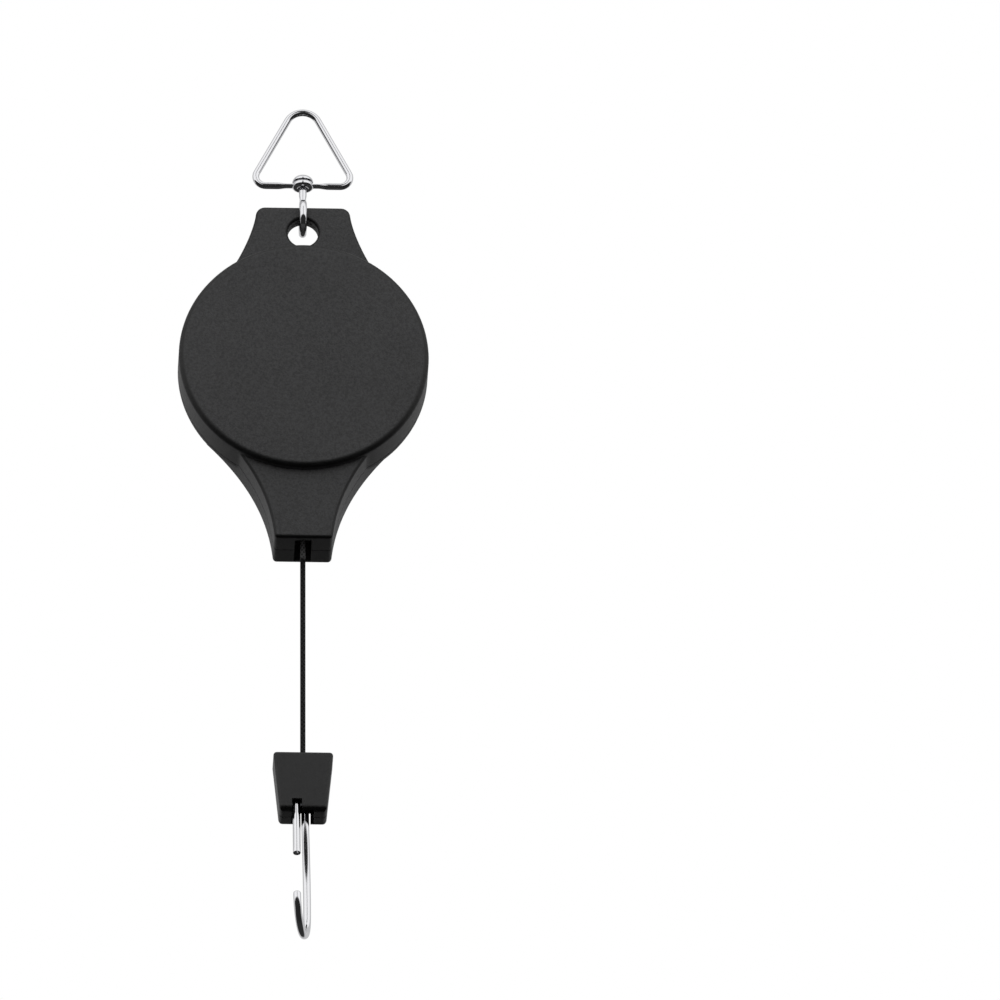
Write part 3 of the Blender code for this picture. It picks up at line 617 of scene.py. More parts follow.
def make_plating():
    """Bright plating: faint haze and smears, and finer marks left by drawing the wire."""
    tree, given = new_group("plating", {"Colour": (0.8, 0.8, 0.8, 1), "Roughness": 0.06, "Haze": 0.05})
    place = own_place(tree)
    smears = noise(tree, place, 260.0, 3.0, 0.6)
    specks = noise(tree, place, 2600.0)
    dull = spread(tree, smears, 0.45, 0.75)
    rough = calc(tree, "MULTIPLY_ADD", dull, given["Haze"], given["Roughness"])
    level = spread(tree, smears, 0.3, 0.75, 1.0, 0.94)
    height = calc(tree, "MULTIPLY_ADD", specks, 0.25, smears)
    end_group(tree, scaled(tree, given["Colour"], level), rough, height)


def make_braid():
    """Round braid of strands that cross over and under each other, read from the cord's stored lay."""
    inputs = {"Colour": (0.01, 0.01, 0.01, 1), "Crossings per Metre": 620.0, "Strands": 4.0}
    highlight_inputs = {"Worn Colour": (0.12, 0.12, 0.12, 1), "Worn Length": 0.0}
    tree, given = new_group("braid", {**inputs, **highlight_inputs})
    lay = put(tree, "Attribute", attribute_name="lay").outputs["Vector"]
    parts = put(tree, "SeparateXYZ", {0: lay}).outputs
    around = calc(tree, "MULTIPLY", calc(tree, "ARCTAN2", parts[1], parts[0]), given["Strands"])
    along = calc(tree, "MULTIPLY", calc(tree, "MULTIPLY", parts[2], given["Crossings per Metre"]), math.tau)
    one_way = calc(tree, "SINE", calc(tree, "ADD", around, along))
    other_way = calc(tree, "SINE", calc(tree, "SUBTRACT", around, along))
    over = calc(tree, "GREATER_THAN", calc(tree, "SINE", around), 0.0)
    strands = calc(tree, "MAXIMUM", one_way, other_way)
    swap = calc(tree, "MULTIPLY_ADD", over, 0.2, strands)
    fibres = noise(tree, own_place(tree), 9000.0)
    height = calc(tree, "MULTIPLY_ADD", fibres, 0.25, swap)
    # Painted shade and highlight: the colour is darker in the grooves between strands and lighter on their
    # crowns.
    level = spread(tree, strands, -0.6, 1.0, 0.35, 1.25)
    # Painted highlight: the cord is paler from its start down to the highlight length.
    past = calc(tree, "SUBTRACT", parts[2], given["Worn Length"])
    highlight_share = spread(tree, past, -0.0005, 0.0005, 1.0, 0.0)
    dye_and_highlight = mixed(tree, highlight_share, given["Colour"], given["Worn Colour"])
    rough = spread(tree, strands, -1.0, 1.0, 0.85, 0.62)
    end_group(tree, scaled(tree, dye_and_highlight, level), rough, height)


def make_look(name, group, values, bump, **constants):
    """A finish: an effect group that feeds a Principled shader, whose constants are set on its sockets."""
    look = bpy.data.materials.new(name)
    look.use_nodes = True
    tree = look.node_tree
    shader = tree.nodes["Principled BSDF"]
    effect = put(tree, "Group", node_tree=bpy.data.node_groups[group])
    for label, value in values.items():
        effect.inputs[label].default_value = value
    relief = {"Height": effect.outputs["Height"], "Strength": bump[0], "Distance": bump[1]}
    surface = put(tree, "Bump", relief)
    tree.links.new(effect.outputs["Colour"], shader.inputs["Base Color"])
    tree.links.new(effect.outputs["Roughness"], shader.inputs["Roughness"])
    tree.links.new(surface.outputs["Normal"], shader.inputs["Normal"])
    for label, value in constants.items():
        shader.inputs[label.replace("_", " ")].default_value = value
    return look


class REEL_OT_finishes(bpy.types.Operator):
    """Make the plastic, chrome, steel and cord finishes"""

    bl_idname = "reel.finishes"
    bl_label = "Finishes"

    def execute(self, context):
        case, wires, cord = context.scene.reel_case, context.scene.reel_wires, context.scene.reel_cord
        make_moulded_grain()
        make_plating()
        make_braid()
        for name, tint, contrast, roughness, painted_edge_shade, bump in (
            ("case_plastic", case.colour, 0.42, 0.56, 0.96, (0.32, 0.00016)),
            # The rear half's plastic is a darker copy of the case plastic, as painted shade.
            ("rear_plastic", case.rear_shaded_colour, 0.42, 0.56, 0.96, (0.32, 0.00016)),
            ("block_plastic", case.block_colour, 0.25, 0.46, 0.96, (0.18, 0.00012)),
            ("spool_nylon", (0.30, 0.31, 0.33), 0.10, 0.42, 0.0, (0.12, 0.0001)),
            ("white_acetal", (0.72, 0.71, 0.66), 0.05, 0.36, 0.0, (0.08, 0.0001)),
        ):
            values = {"Colour": (*tint, 1), "Grains per Metre": 1 / case.grain, "Contrast": contrast}
            # The edge value sets how far painted shade darkens the rounded edges.
            values |= {"Roughness": roughness, "Edge Shade": painted_edge_shade}
            make_look(name, "moulded_grain", values, bump)
        bright = {"Colour": (*wires.colour, 1), "Roughness": wires.roughness, "Haze": 0.05}
        make_look("chrome", "plating", bright, (0.06, 0.0001), Metallic=1.0)
        dull = {"Colour": (0.47, 0.48, 0.50, 1), "Roughness": 0.28, "Haze": 0.18}
        make_look("plain_steel", "plating", dull, (0.2, 0.0001), Metallic=1.0)
        braided = {"Colour": (*cord.colour, 1), "Crossings per Metre": 1 / cord.plait, "Strands": 4.0}
        make_look("braided_cord", "braid", braided, (0.8, 0.00012), Specular_IOR_Level=0.25)
        # The free cord's paler first stretch is a painted highlight.
        braided["Worn Colour"] = (*cord.painted_highlight_colour, 1)
        braided["Worn Length"] = cord.painted_highlight_length
        make_look("braided_cord_worn", "braid", braided, (0.8, 0.00012), Specular_IOR_Level=0.25)
        return {"FINISHED"}


# Ring and swivel


class REEL_OT_ring(bpy.types.Operator):
    """Bend the hanging ring and press its eyelet"""

    bl_idname = "reel.ring"
    bl_label = "Hanging Ring"

    def execute(self, context):
        wires = context.scene.reel_wires
        radius = wires.ring_radius
        corner = Vector((RING_HALF_WIDTH - radius - RING_CORNER_BEND, RING_BAR_Z + RING_CORNER_BEND))
        top = Vector((0, RING_TOP_Z - radius - RING_TOP_BEND))
        across = top - corner
        lean = math.atan2(across.y, across.x) - math.acos((RING_CORNER_BEND - RING_TOP_BEND) / across.length)
        lean = math.degrees(lean)
        bar = [(x * 0.0005, RING_BAR_Z) for x in range(4, 20)]
        low = arc(corner.x, corner.y, RING_CORNER_BEND, -90, lean, 12)
        high = arc(top.x, top.y, RING_TOP_BEND, lean, 90, 16)
        right = bar + low + high
        loop = right + [(-x, z) for x, z in reversed(right[:-1])]
        path = [at(x, 0, z) for x, z in loop]

        def squeeze(place):
            """The wire is pressed flatter and deeper where it meets the eyelet."""
            if place.z > DRUM.z + RING_BAR_Z + radius:
                return 1.0, 1.0
            near = min(1.0, max(0.0, (PRESS_REACH - abs(place.x)) / PRESS_FADE))
            near = near * near * (3 - 2 * near)
            return 1.0 - PRESS_FLATTER * near, 1.0 + PRESS_DEEPER * near

        ring = swept("hanging_ring", path, radius, wires.sides, closed=True, squeeze=squeeze)
        soft, lip = EYELET_HALF_H * 0.9, 0.0005
        rim = arc(EYELET_R - soft, 0, soft, -90, 90, 10)
        bore = arc(EYELET_BORE_R + lip, 0, lip, 90, 270, 6)
        profile = [(x, z * EYELET_HALF_H / soft) for x, z in rim]
        profile += [(x, z * EYELET_HALF_H / lip) for x, z in bore]
        middle = at(0, 0, RING_BAR_Z)
        carve(ring, "UNION", [spun("ring_eyelet", profile, middle, "Z", 48, True)])
        carve(ring, "DIFFERENCE", [rod("ring_bore", EYELET_BORE_R, -0.003, 0.003, middle, "Z", 32)])
        finished(ring, "chrome", "ring", ["ring"], even=False)
        return {"FINISHED"}


class REEL_OT_swivel(bpy.types.Operator):
    """Turn the swivel's headed pin and bend its eye"""

    bl_idname = "reel.swivel"
    bl_label = "Swivel Eye"

    def execute(self, context):
        wires = context.scene.reel_wires
        seat = EYELET_HALF_H + GAP
        tall = PIN_HEAD_TOP_Z - RING_BAR_Z - seat
        dome = [(x * PIN_HEAD_R, seat + tall * z) for x, z in arc(0, 0, 1.0, 90, 0, 14)]
        dome[0] = (0, dome[0][1])
        eye_top = EYE_Z + EYE_R - RING_BAR_Z
        collar = [(PIN_R + 0.00018, -0.0018), (PIN_R + 0.00018, -0.0036)]
        profile = dome + [(PIN_HEAD_R - 0.0002, seat), (PIN_R, seat), (PIN_R, -0.0016)] + collar
        profile += [(PIN_R, -0.0046), (PIN_R, eye_top), (0, eye_top)]
        pin = spun("swivel_pin_and_eye", profile, at(0, 0, RING_BAR_Z), "Z", 40)
        loop = [at(0, y, z) for y, z in arc(0, EYE_Z, EYE_R, 90, 450, 64)[:-1]]
        carve(pin, "UNION", [swept("swivel_loop", loop, wires.eye_radius, wires.sides, closed=True)])
        finished(pin, "chrome", "swivel", ["swivel_eye"], even=False)
        return {"FINISHED"}


# Case


def neck_outline(inset=0.0, bottom=NECK_BOTTOM_Z, corner=0.0013, count=28):
    """The neck, from inside the drum down to its foot. The flanks are hollow curves."""
    flank = [(x - inset, z) for x, z in bent(*NECK_FLANK, count) if z > bottom + corner + 0.0004]
    foot_x = flank[-1][0] - 0.0001
    foot = arc(foot_x - corner, bottom + corner, corner, 0, -90, 5)
    return both_sides([(NECK_TOP_HALF_W - inset, 0.0)] + flank + foot)


def ear_outline():
    """The ear, from its rounded top corner down its hollow flank into the drum."""
    corner = arc(EAR_CORNER_X, EAR_TOP_Z - EAR_CORNER_R, EAR_CORNER_R, 90, 8, 8)
    return both_sides(corner + bent(corner[-1], *EAR_FLANK, 16)[1:] + [EAR_FOOT])


def cover_blank(name, case, side):
    """One solid half of the case: drum, neck and ear. side is -1 for the front and 1 for the rear.

    Each is built past the seam by its own overrun, so that no two end faces lie in one plane when they join.
    """
    round_r, deep, past = case.drum_radius, case.drum_depth, DRUM_OVERRUN
    if side < 0:
        soft = case.face_fillet
        bend = arc(round_r - soft, -deep + soft, soft, -90, 0, 7)
        profile = [(0, -deep)] + bend + [(round_r, past), (0, past)]
    else:
        soft, lip = case.back_fillet, 0.0004
        bend = arc(REAR_DRUM_END_R - soft, deep - soft, soft, 0, 90, 7)
        rim = arc(round_r - lip, RIM_BACK - lip, lip, 0, 90, 3)
        profile = [(0, -past), (round_r, -past)] + rim + [(REAR_DRUM_R, RIM_BACK)] + bend + [(0, deep)]
    drum = spun(name, profile, DRUM, "Y", case.round_steps)
    neck = plate("neck", neck_outline(), side * case.neck_depth, -side * NECK_OVERRUN, case.neck_edge)
    ear = plate("ear", ear_outline(), side * case.ear_depth, -side * EAR_OVERRUN, case.ear_edge)
    carve(drum, "UNION", [neck])
    carve(drum, "UNION", [ear])
    ends = sorted((-side * 0.05, side * SEAM))
    return carve(drum, "DIFFERENCE", [slab("other_half", at(-0.1, ends[0], -0.1), at(0.1, ends[1], 0.1))])


def neck_cutters(case):
    """What both halves have cut from the neck and the ear."""
    depth = case.neck_depth - case.wall
    cavity = plate("neck_cavity", neck_outline(case.wall, CAVITY_FLOOR_Z, 0.0010, 16), -depth, depth)
    seat_r, seat_top, seat_bottom = GUIDE_R + GAP, GUIDE_TOP_Z + GAP, GUIDE_BOTTOM_Z - GAP
    profile = [(0, FUNNEL_TOP_Z), (FUNNEL_R, FUNNEL_TOP_Z), (THROAT_R, THROAT_TOP_Z), (THROAT_R, seat_top)]
    profile += [(seat_r, seat_top), (seat_r, seat_bottom), (OUTLET_R, seat_bottom)]
    profile += [(OUTLET_R, OUTLET_BOTTOM_Z), (0, OUTLET_BOTTOM_Z)]
    seat = spun("guide_seat", profile, DRUM, "Z", 32)
    slot = slab(
        "outlet_slot",
        at(-SLOT_HALF_W, -SLOT_FRONT, NECK_BOTTOM_Z - 0.002),
        at(SLOT_HALF_W, SLOT_BACK, SLOT_TOP_Z),
    )
    half, soft = case.ear_depth, EAR_HOLE_EDGE
    profile = [(0, half + 0.002), (EAR_HOLE_R + soft, half + 0.002)]
    for a in (1.57, 1.2, 0.8, 0.4, 0):
        profile.append((EAR_HOLE_R + soft - soft * math.cos(a), half - soft + soft * math.sin(a)))
    profile += [(x, -y) for x, y in reversed(profile)]
    hole = spun("ear_hole", profile, at(0, 0, EAR_HOLE_Z), "Y", 56)
    return [cavity, seat, slot, hole]


def screw_places(case):
    """(x, z, depth of the outer face) of each case screw."""
    places = []
    for degrees in DRUM_SCREW_ANGLES:
        angle = math.radians(degrees)
        places.append((DRUM_SCREW_R * math.cos(angle), DRUM_SCREW_R * math.sin(angle), case.drum_depth))
    x, z = NECK_SCREW
    return places + [(x, z, case.neck_depth), (-x, z, case.neck_depth)]


def counterbored(name, x, z, inside, face, hole_r, seat_r):
    """A screw's hole with the seat of its head."""
    seat = face - COUNTERBORE
    soft = 0.0002
    profile = [(0, inside), (hole_r, inside), (hole_r, seat), (seat_r, seat), (seat_r, face - soft)]
    profile += [(seat_r + soft * 2, face + soft), (seat_r + soft * 2, face + CLEAR), (0, face + CLEAR)]
    return spun(name, profile, at(x, 0, z), "Y", 32)


class REEL_OT_front_cover(bpy.types.Operator):
    """Mould the front half of the case"""

    bl_idname = "reel.front_cover"
    bl_label = "Front Cover"

    def execute(self, context):
        case = context.scene.reel_case
        cover = cover_blank("front_moulding", case, -1)
        inside = case.drum_depth - case.wall
        cavity = rod("drum_cavity", case.drum_radius - case.wall, -inside, CLEAR, DRUM, "Y", 96)
        carve(cover, "DIFFERENCE", [cavity] + neck_cutters(case))
        posts, pilots = [], []
        for i, (x, z, depth) in enumerate(screw_places(case)):
            posts.append(rod(f"post_{i}", POST_R, -depth + case.wall / 2, -SEAM, at(x, 0, z)))
            pilots.append(rod(f"pilot_{i}", SHANK_R + GAP, PILOT_END_Y, 0.001, at(x, 0, z), steps=16))
        root = -case.drum_depth + case.wall / 2
        posts.append(rod("axle_socket", AXLE_SOCKET_R, root, AXLE_SOCKET_END_Y, DRUM, steps=32))
        pilots.append(rod("axle_bore", AXLE_R + GAP, AXLE_BORE_END_Y, 0.0, DRUM, steps=32))
        pilots.append(rod("pawl_bore", PAWL_BORE_R, *PAWL_BORE_Y, at(PAWL_PIVOT[0], 0, PAWL_PIVOT[1])))
        carve(cover, "UNION", posts)
        carve(cover, "DIFFERENCE", pilots)
        finished(cover, "case_plastic", "casing", ["front_cover"])
        return {"FINISHED"}


class REEL_OT_rear_cover(bpy.types.Operator):
    """Mould the rear half of the case"""

    bl_idname = "reel.rear_cover"
    bl_label = "Rear Cover"

    def execute(self, context):
        case = context.scene.reel_case
        cover = cover_blank("rear_moulding", case, 1)
        deep = case.drum_depth
        cavity = rod("drum_cavity", REAR_DRUM_END_R - case.wall, -CLEAR, deep - case.wall, DRUM, "Y", 96)
        carve(cover, "DIFFERENCE", [cavity] + neck_cutters(case))
        posts, holes = [], []
        for i, (x, z, depth) in enumerate(screw_places(case)):
            posts.append(rod(f"post_{i}", POST_R, SEAM, depth - case.wall / 2, at(x, 0, z)))
            holes.append(counterbored(f"hole_{i}", x, z, -0.001, depth, SHANK_R + GAP, HEAD_R + GAP))
        posts.append(rod("axle_boss", AXLE_BOSS_R, AXLE_BOSS_Y, deep - case.wall / 2, DRUM, steps=32))
        holes.append(counterbored("axle_hole", 0, 0, 0.008, deep, AXLE_SCREW_R + GAP, AXLE_HEAD_R + GAP))
        carve(cover, "UNION", posts)
        carve(cover, "DIFFERENCE", holes)
        # Painted shade: the rear half takes the darker copy of the case plastic.
        finished(cover, "rear_plastic", "casing", ["rear_cover"])
        return {"FINISHED"}


class REEL_OT_screws(bpy.types.Operator):
    """Turn the pan-head screws of the case and the end block"""

    bl_idname = "reel.screws"
    bl_label = "Screws"

    def execute(self, context):
        jobs = [(f"case_screw_{i}", "casing", CASE_HEAD_H, SHANK_R) for i in (1, 2, 3, 4)]
        jobs += [("axle_screw", "casing", CASE_HEAD_H, AXLE_SCREW_R)]
        jobs += [(f"block_screw_{i}", "block", BLOCK_HEAD_H, BLOCK_SHANK_R) for i in (1, 2)]
        for node, body, head, shank in jobs:
            low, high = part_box(node)
            middle = (low + high) / 2
            radius = (high.x - low.x) / 2
            seat = high.y - head
            dome = arc(0, 0, 1.0, 0, 90, 8)
            crown = [(radius * x, seat + head * 0.45 + head * 0.55 * y) for x, y in dome]
            crown[-1] = (0, high.y)
            thread = []
            depth = low.y + shank
            while depth < seat - THREAD_STOP:
                thread += [(shank, depth), (shank * 0.8, depth + THREAD_PITCH / 2)]
                depth += THREAD_PITCH
            profile = [(0, low.y), (shank * 0.3, low.y)] + thread
            profile += [(shank, seat - THREAD_PITCH), (shank, seat), (radius * 0.97, seat)]
            profile += [(radius, seat + head * 0.08)] + crown
            centre = Vector((middle.x, 0, middle.z))
            screw = spun(node + "_turned", profile, centre, "Y", 32)
            recess = rod("recess", radius * 0.5, seat + head * 0.35, high.y + 0.001, centre, steps=6)
            carve(screw, "DIFFERENCE", [recess])
            finished(screw, "plain_steel", body, [node])
        return {"FINISHED"}


# Cord


def leave_point():
    """Where the cord leaves the spool, on the line that touches its turns and enters the guide."""
    angle = math.acos(WIND_R / -GUIDE_TOP_Z)
    return at(WIND_R * math.sin(angle), LEAVE_Y, -WIND_R * math.cos(angle))


class REEL_OT_cord(bpy.types.Operator):
    """Lay the cord: the free length, the run inside the case and the turns on the spool"""

    bl_idname = "reel.cord"
    bl_label = "Cord"

    def execute(self, context):
        cord = context.scene.reel_cord
        radius = cord.diameter / 2
        low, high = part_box("cord")
        count = 120
        path = [Vector((0, 0, high.z + (low.z - high.z) * i / count)) for i in range(count + 1)]
        free = swept("free_cord", path, radius, 16)
        # Painted highlight: the free cord is paler near the outlet.
        finished(free, "braided_cord_worn", None, ["cord"], sharp_above=60, even=False)
        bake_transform(free)
        start, end = leave_point(), at(0, 0, GUIDE_TOP_Z + 0.0005)
        run = swept("inner_cord", [start.lerp(end, 0.04 + 0.96 * i / 40) for i in range(41)], radius, 12)
        finished(run, "braided_cord", "casing", ["cord_inner"], sharp_above=60, even=False)
        per_turn = 60
        leave = math.atan2(start.z - DRUM.z, start.x)
        total = cord.turns * per_turn
        turns = []
        for i in range(total + 1):
            back = (total - i) / per_turn
            angle = leave + math.tau * back
            turns.append(at(WIND_R * math.cos(angle), LEAVE_Y - WIND_PITCH * back, WIND_R * math.sin(angle)))
        wound = swept("wound_cord", turns, radius, 10)
        finished(wound, "braided_cord", "spool", ["cord_wound"], sharp_above=60, even=False)
        return {"FINISHED"}


# End block and hook


def block_blank(name, case, side):
    """Half of the end block: a tapered block with rounded corners, more so at its lower front edge."""
    outline = both_sides([(BLOCK_TOP_HALF_W, BLOCK_TOP_Z), (BLOCK_BOTTOM_HALF_W, BLOCK_BOTTOM_Z)])
    outer = side * BLOCK_HALF_D
    shape, _ = extruded(outline, outer, side * SEAM)
    weights = shape.edges.layers.float.new("bevel_weight_edge")
    middle = DRUM.z + (BLOCK_TOP_Z + BLOCK_BOTTOM_Z) / 2
    for edge in shape.edges:
        ends = [vert.co for vert in edge.verts]
        on_face = [abs(co.y - outer) < WELD for co in ends]
        if all(on_face):
            low = all(co.z < middle for co in ends)
            edge[weights] = 1.0 if low and side < 0 else 0.55
        elif any(on_face):
            edge[weights] = 0.7
    half = piece_from(shape, name)
    bevel = half.modifiers.new("rounding", "BEVEL")
    bevel.limit_method = "WEIGHT"
    bevel.width = case.block_edge
    bevel.segments = 5
    bevel.profile = 0.5
    return settle(half)


class REEL_OT_block(bpy.types.Operator):
    """Mould the two halves of the end block"""

    bl_idname = "reel.block"
    bl_label = "End Block"

    def execute(self, context):
        case = context.scene.reel_case
        for side, label in ((-1, "front"), (1, "rear")):
            half = block_blank(f"{label}_end_block", case, side)
            pin = at(0, 0, HOOK_PIN_Z)
            low, high = FERRULE_BOTTOM_Z - GAP, FERRULE_TOP_Z + GAP
            under = BLOCK_BOTTOM_Z - 0.002
            notch_w, notch_d, inner = NOTCH_HALF_W, NOTCH_HALF_D, SLOT_INNER_Y
            front_end, rear_start, rear_end = FRONT_SLOT_RIGHT_X, REAR_SLOT_LEFT_X, REAR_SLOT_RIGHT_X
            cutters = [
                rod("cord_hole", CORD_HOLE_R, *CORD_HOLE_Z, DRUM, "Z", 24),
                rod("ferrule_chamber", FERRULE_R + GAP, low, high, DRUM, "Z", 24),
                rod("hook_pocket", POCKET_R, -notch_w, notch_w, pin, "X", 48),
                slab("opening", at(-notch_w, -notch_d, under), at(notch_w, notch_d, NOTCH_TOP_Z)),
                slab("front_slot", at(-notch_w, -CLEAR, under), at(front_end, -inner, SLOT_TOP_FRONT_Z)),
                slab("rear_slot", at(rear_start, inner, under), at(rear_end, CLEAR, SLOT_TOP_REAR_Z)),
                rod("pin_bore", HOOK_PIN_R + GAP, -PIN_BORE_HALF_W, PIN_BORE_HALF_W, pin, "X", 16),
            ]
            for i, x in enumerate((-BLOCK_SCREW[0], BLOCK_SCREW[0])):
                place = at(x, 0, BLOCK_SCREW[1])
                if side < 0:
                    cutters += [rod(f"pilot_{i}", BLOCK_PILOT_R, BLOCK_PILOT_END_Y, 0.001, place, steps=16)]
                else:
                    cutters += [rod(f"hole_{i}", BLOCK_PILOT_R, -0.001, 0.02, place, steps=16)]
                    cutters += [rod(f"head_seat_{i}", BLOCK_SEAT_R, BLOCK_SEAT_Y, 0.02, place)]
            carve(half, "DIFFERENCE", cutters)
            finished(half, "block_plastic", "block", [f"block_{label}"])
        return {"FINISHED"}


class REEL_OT_hook(bpy.types.Operator):
    """Bend the open wire hook"""

    bl_idname = "reel.hook"
    bl_label = "Hook"

    def execute(self, context):
        wires = context.scene.reel_wires
        pin = HOOK_PIN_Z
        strand = bent(STRAND_TIP, *STRAND_HANDLES, (-HOOK_EYE_R, pin), 20)
        path = [at(-STRAND_X, y, z) for y, z in strand]
        middle, half = (SHANK_TOP_X - STRAND_X) / 2, (SHANK_TOP_X + STRAND_X) / 2
        for i in range(1, 25):
            angle = math.pi * i / 24
            turn = math.cos(angle)
            path.append(at(middle - half * turn, -HOOK_EYE_R * turn, pin + HOOK_EYE_R * math.sin(angle)))
        upper, lower = SHANK_HANDLES_Z
        shank = bent((HOOK_EYE_R, pin), (HOOK_EYE_R, upper), (BOW_R, lower), (BOW_R, BOW_Z), 32)
        for y, z in shank[1:]:
            down = (y - HOOK_EYE_R) / (BOW_R - HOOK_EYE_R)
            path.append(at(SHANK_TOP_X + (BOW_X - SHANK_TOP_X) * down, y, z))
        bow_middle, bow_half = (BOW_X - STRAND_X) / 2, (BOW_X + STRAND_X) / 2
        for i in range(1, 41):
            angle = math.pi * i / 40
            turn = math.cos(angle)
            path.append(at(bow_middle + bow_half * turn, BOW_R * turn, BOW_Z - BOW_R * math.sin(angle)))
        hook = swept("wire_hook", path, wires.hook_radius, wires.sides, tips=(0.0002, 0.0007))
        finished(hook, "chrome", "hook", ["hook"], even=False)
        return {"FINISHED"}


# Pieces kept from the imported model


class REEL_OT_works(bpy.types.Operator):
    """Finish the reel's works: axle, spool, springs, pawl and fittings"""

    bl_idname = "reel.works"
    bl_label = "Works"

    def execute(self, context):
        steel = ("axle", "axle_washer", "spring_cover", "mainspring", "pawl_pin", "pawl_spring")
        looks = {
            "plain_steel": steel + ("cord_ferrule", "hook_pin"),
            "spool_nylon": ("spool",),
            "white_acetal": ("spool_bush", "pawl", "cord_guide"),
        }
        for look, names in looks.items():
            for name in names:
                slots = frame["nodes"][name].material_slots
                if not slots:
                    raise RuntimeError(f"{name} has no material slot")
                for place in slots:
                    place.link = "OBJECT"
                    place.material = bpy.data.materials[look]
        return {"FINISHED"}


# Studio


def soft_light(tree):
    """How bright the room is in each direction, for soft surfaces: most from above and in front."""
    _, depth, height = put(tree, "SeparateXYZ", {0: own_place(tree)}).outputs
    above = spread(tree, height, -0.3, 0.6, 0.12, 0.62)
    ahead = spread(tree, depth, 0.2, -0.8, 0.0, 0.35)
    return calc(tree, "ADD", above, ahead)


def reflected_room(tree):
    """The room as bright metal shows it: two white screens in front with a dark gap, and a wall behind."""
    across, depth, height = put(tree, "SeparateXYZ", {0: own_place(tree)}).outputs
    beside = spread(tree, calc(tree, "ABSOLUTE", across), 0.06, 0.12)
    overhead = spread(tree, height, 0.78, 0.86)
    lit = calc(tree, "MAXIMUM", beside, overhead)
    screens = calc(tree, "MULTIPLY", lit, spread(tree, height, -0.02, 0.06))
    ahead = spread(tree, screens, 0.0, 1.0, 0.02, SCREEN_LEVEL)
    wall = spread(tree, height, -0.35, -0.15, 0.03, WALL_LEVEL)
    behind = spread(tree, depth, -0.10, 0.05)
    return spread(tree, behind, 0.0, 1.0, ahead, wall)


def panel_light(name, place, width, height, power):
    """A soft rectangular light that faces the drum, from a place measured from its middle."""
    place = at(*place)
    lamp = bpy.data.lights.new(name, "AREA")
    lamp.shape = "RECTANGLE"
    lamp.size = width
    lamp.size_y = height
    lamp.energy = power
    lit = bpy.data.objects.new(name, lamp)
    lit.location = place
    lit.visible_glossy = False
    lit.rotation_euler = (DRUM - place).to_track_quat("-Z", "Y").to_euler()
    bpy.context.scene.collection.objects.link(lit)


def place_camera(scene, stage):
    """Puts the camera below the front, rolled a little so that the hanging cord stays upright in its view."""
    azimuth, elevation = math.radians(CAMERA_AZIMUTH), math.radians(CAMERA_ELEVATION)
    level = math.cos(elevation)
    back = Vector((math.sin(azimuth) * level, -math.cos(azimuth) * level, math.sin(elevation)))
    right = Vector((0, 0, 1)).cross(back).normalized()
    up = back.cross(right)
    lens = bpy.data.cameras.new("camera")
    lens.lens = stage.camera_lens
    lens.clip_start, lens.clip_end = CLIP
    camera = bpy.data.objects.new("camera", lens)
    camera.location = DRUM + back * stage.camera_distance
    aim = DRUM + right * AIM_RIGHT - up * AIM_BELOW
    turn = (aim - camera.location).to_track_quat("-Z", "Y").to_matrix()
    ends = [at(0, 0, z) for z in (RING_BAR_Z, BLOCK_TOP_Z)]
    seen = [turn.transposed() @ (place - camera.location) for place in ends]
    high, low = [Vector((place.x / -place.z, place.y / -place.z)) for place in seen]
    roll = math.atan2(high.x - low.x, high.y - low.y)
    camera.rotation_euler = (turn @ Matrix.Rotation(-roll, 3, "Z")).to_euler()
    scene.collection.objects.link(camera)
    scene.camera = camera


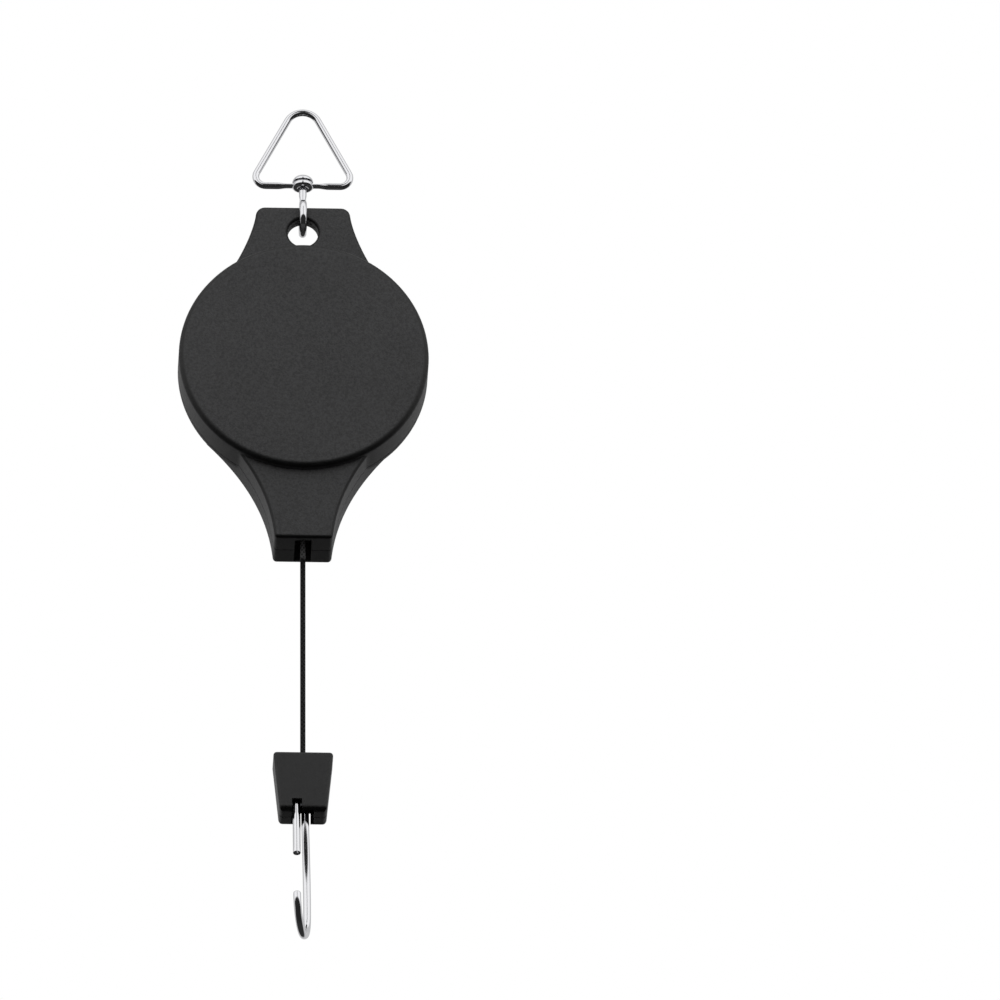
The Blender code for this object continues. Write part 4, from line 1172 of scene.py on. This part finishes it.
class REEL_OT_stage(bpy.types.Operator):
    """Set up the floor, the lights and the camera"""

    bl_idname = "reel.stage"
    bl_label = "Studio"

    def execute(self, context):
        scene = context.scene
        stage = scene.reel_stage
        shape = bmesh.new()
        bmesh.ops.create_grid(shape, x_segments=1, y_segments=1, size=FLOOR_HALF_W)
        bmesh.ops.translate(shape, vec=(0, 0, -stage.floor_drop), verts=shape.verts)
        floor = piece_from(shape, "studio_floor")
        floor.visible_diffuse = False
        floor.visible_glossy = False
        paint = bpy.data.materials.new("floor_paint")
        paint.use_nodes = True
        shader = paint.node_tree.nodes["Principled BSDF"]
        shader.inputs["Base Color"].default_value = (*stage.floor_colour, 1)
        shader.inputs["Roughness"].default_value = 0.9
        floor.data.materials.append(paint)

        world = bpy.data.worlds.new("studio")
        world.use_nodes = True
        scene.world = world
        tree = world.node_tree
        tree.nodes.clear()
        rays = put(tree, "LightPath").outputs
        strength = calc(tree, "MULTIPLY", soft_light(tree), stage.fill)
        for kind, level in (("Is Glossy Ray", reflected_room(tree)), ("Is Camera Ray", 1.0)):
            strength = spread(tree, rays[kind], 0.0, 1.0, strength, level)
        around = put(tree, "Background", {"Color": (1, 1, 1, 1), "Strength": strength}).outputs[0]
        put(tree, "OutputWorld", {"Surface": around})

        panel_light("front_panel", (0.0, -0.30, 0.30), 0.5, 0.3, stage.front_light)
        panel_light("left_panel", (-1.2, -0.25, 0.35), 1.0, 1.4, stage.side_light)
        panel_light("right_panel", (1.2, -0.25, 0.35), 1.0, 1.4, stage.side_light)
        panel_light("top_panel", (0.0, 0.1, 1.3), 1.6, 1.0, stage.side_light)
        place_camera(scene, stage)
        scene.view_settings.view_transform = "Standard"
        return {"FINISHED"}


class REEL_PT_panel(bpy.types.Panel):
    """Sidebar panel of the hanging reel"""

    bl_idname = "REEL_PT_panel"
    bl_label = "Hanging Reel"
    bl_space_type = "VIEW_3D"
    bl_region_type = "UI"
    bl_category = "Hanging Reel"

    def draw(self, context):
        for name in SETTINGS:
            group = getattr(context.scene, name)
            column = self.layout.column(align=True)
            for field in group.__annotations__:
                column.prop(group, field)
        column = self.layout.column(align=True)
        for operator in OPERATORS:
            column.operator(operator.bl_idname)


SETTINGS = {
    "reel_case": ReelCaseSettings,
    "reel_wires": ReelWireSettings,
    "reel_cord": ReelCordSettings,
    "reel_stage": ReelStageSettings,
}
OPERATORS = (
    REEL_OT_finishes,
    REEL_OT_ring,
    REEL_OT_swivel,
    REEL_OT_front_cover,
    REEL_OT_rear_cover,
    REEL_OT_screws,
    REEL_OT_cord,
    REEL_OT_block,
    REEL_OT_hook,
    REEL_OT_works,
    REEL_OT_stage,
)


def register():
    for name, settings in SETTINGS.items():
        bpy.utils.register_class(settings)
        setattr(bpy.types.Scene, name, bpy.props.PointerProperty(type=settings))
    for operator in OPERATORS:
        bpy.utils.register_class(operator)
    bpy.utils.register_class(REEL_PT_panel)


def unregister():
    bpy.utils.unregister_class(REEL_PT_panel)
    for operator in reversed(OPERATORS):
        bpy.utils.unregister_class(operator)
    for name, settings in SETTINGS.items():
        delattr(bpy.types.Scene, name)
        bpy.utils.unregister_class(settings)


def clear_startup():
    """Removes what a new file holds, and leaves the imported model."""
    kept = set(frame["nodes"].values()) | set(frame["bodies"].values())
    for obj in list(bpy.data.objects):
        if obj not in kept:
            bpy.data.objects.remove(obj, do_unlink=True)


def main():
    register()
    clear_startup()
    for operator in OPERATORS:
        group, name = operator.bl_idname.split(".")
        getattr(getattr(bpy.ops, group), name)()


if __name__ == "__main__":
    main()
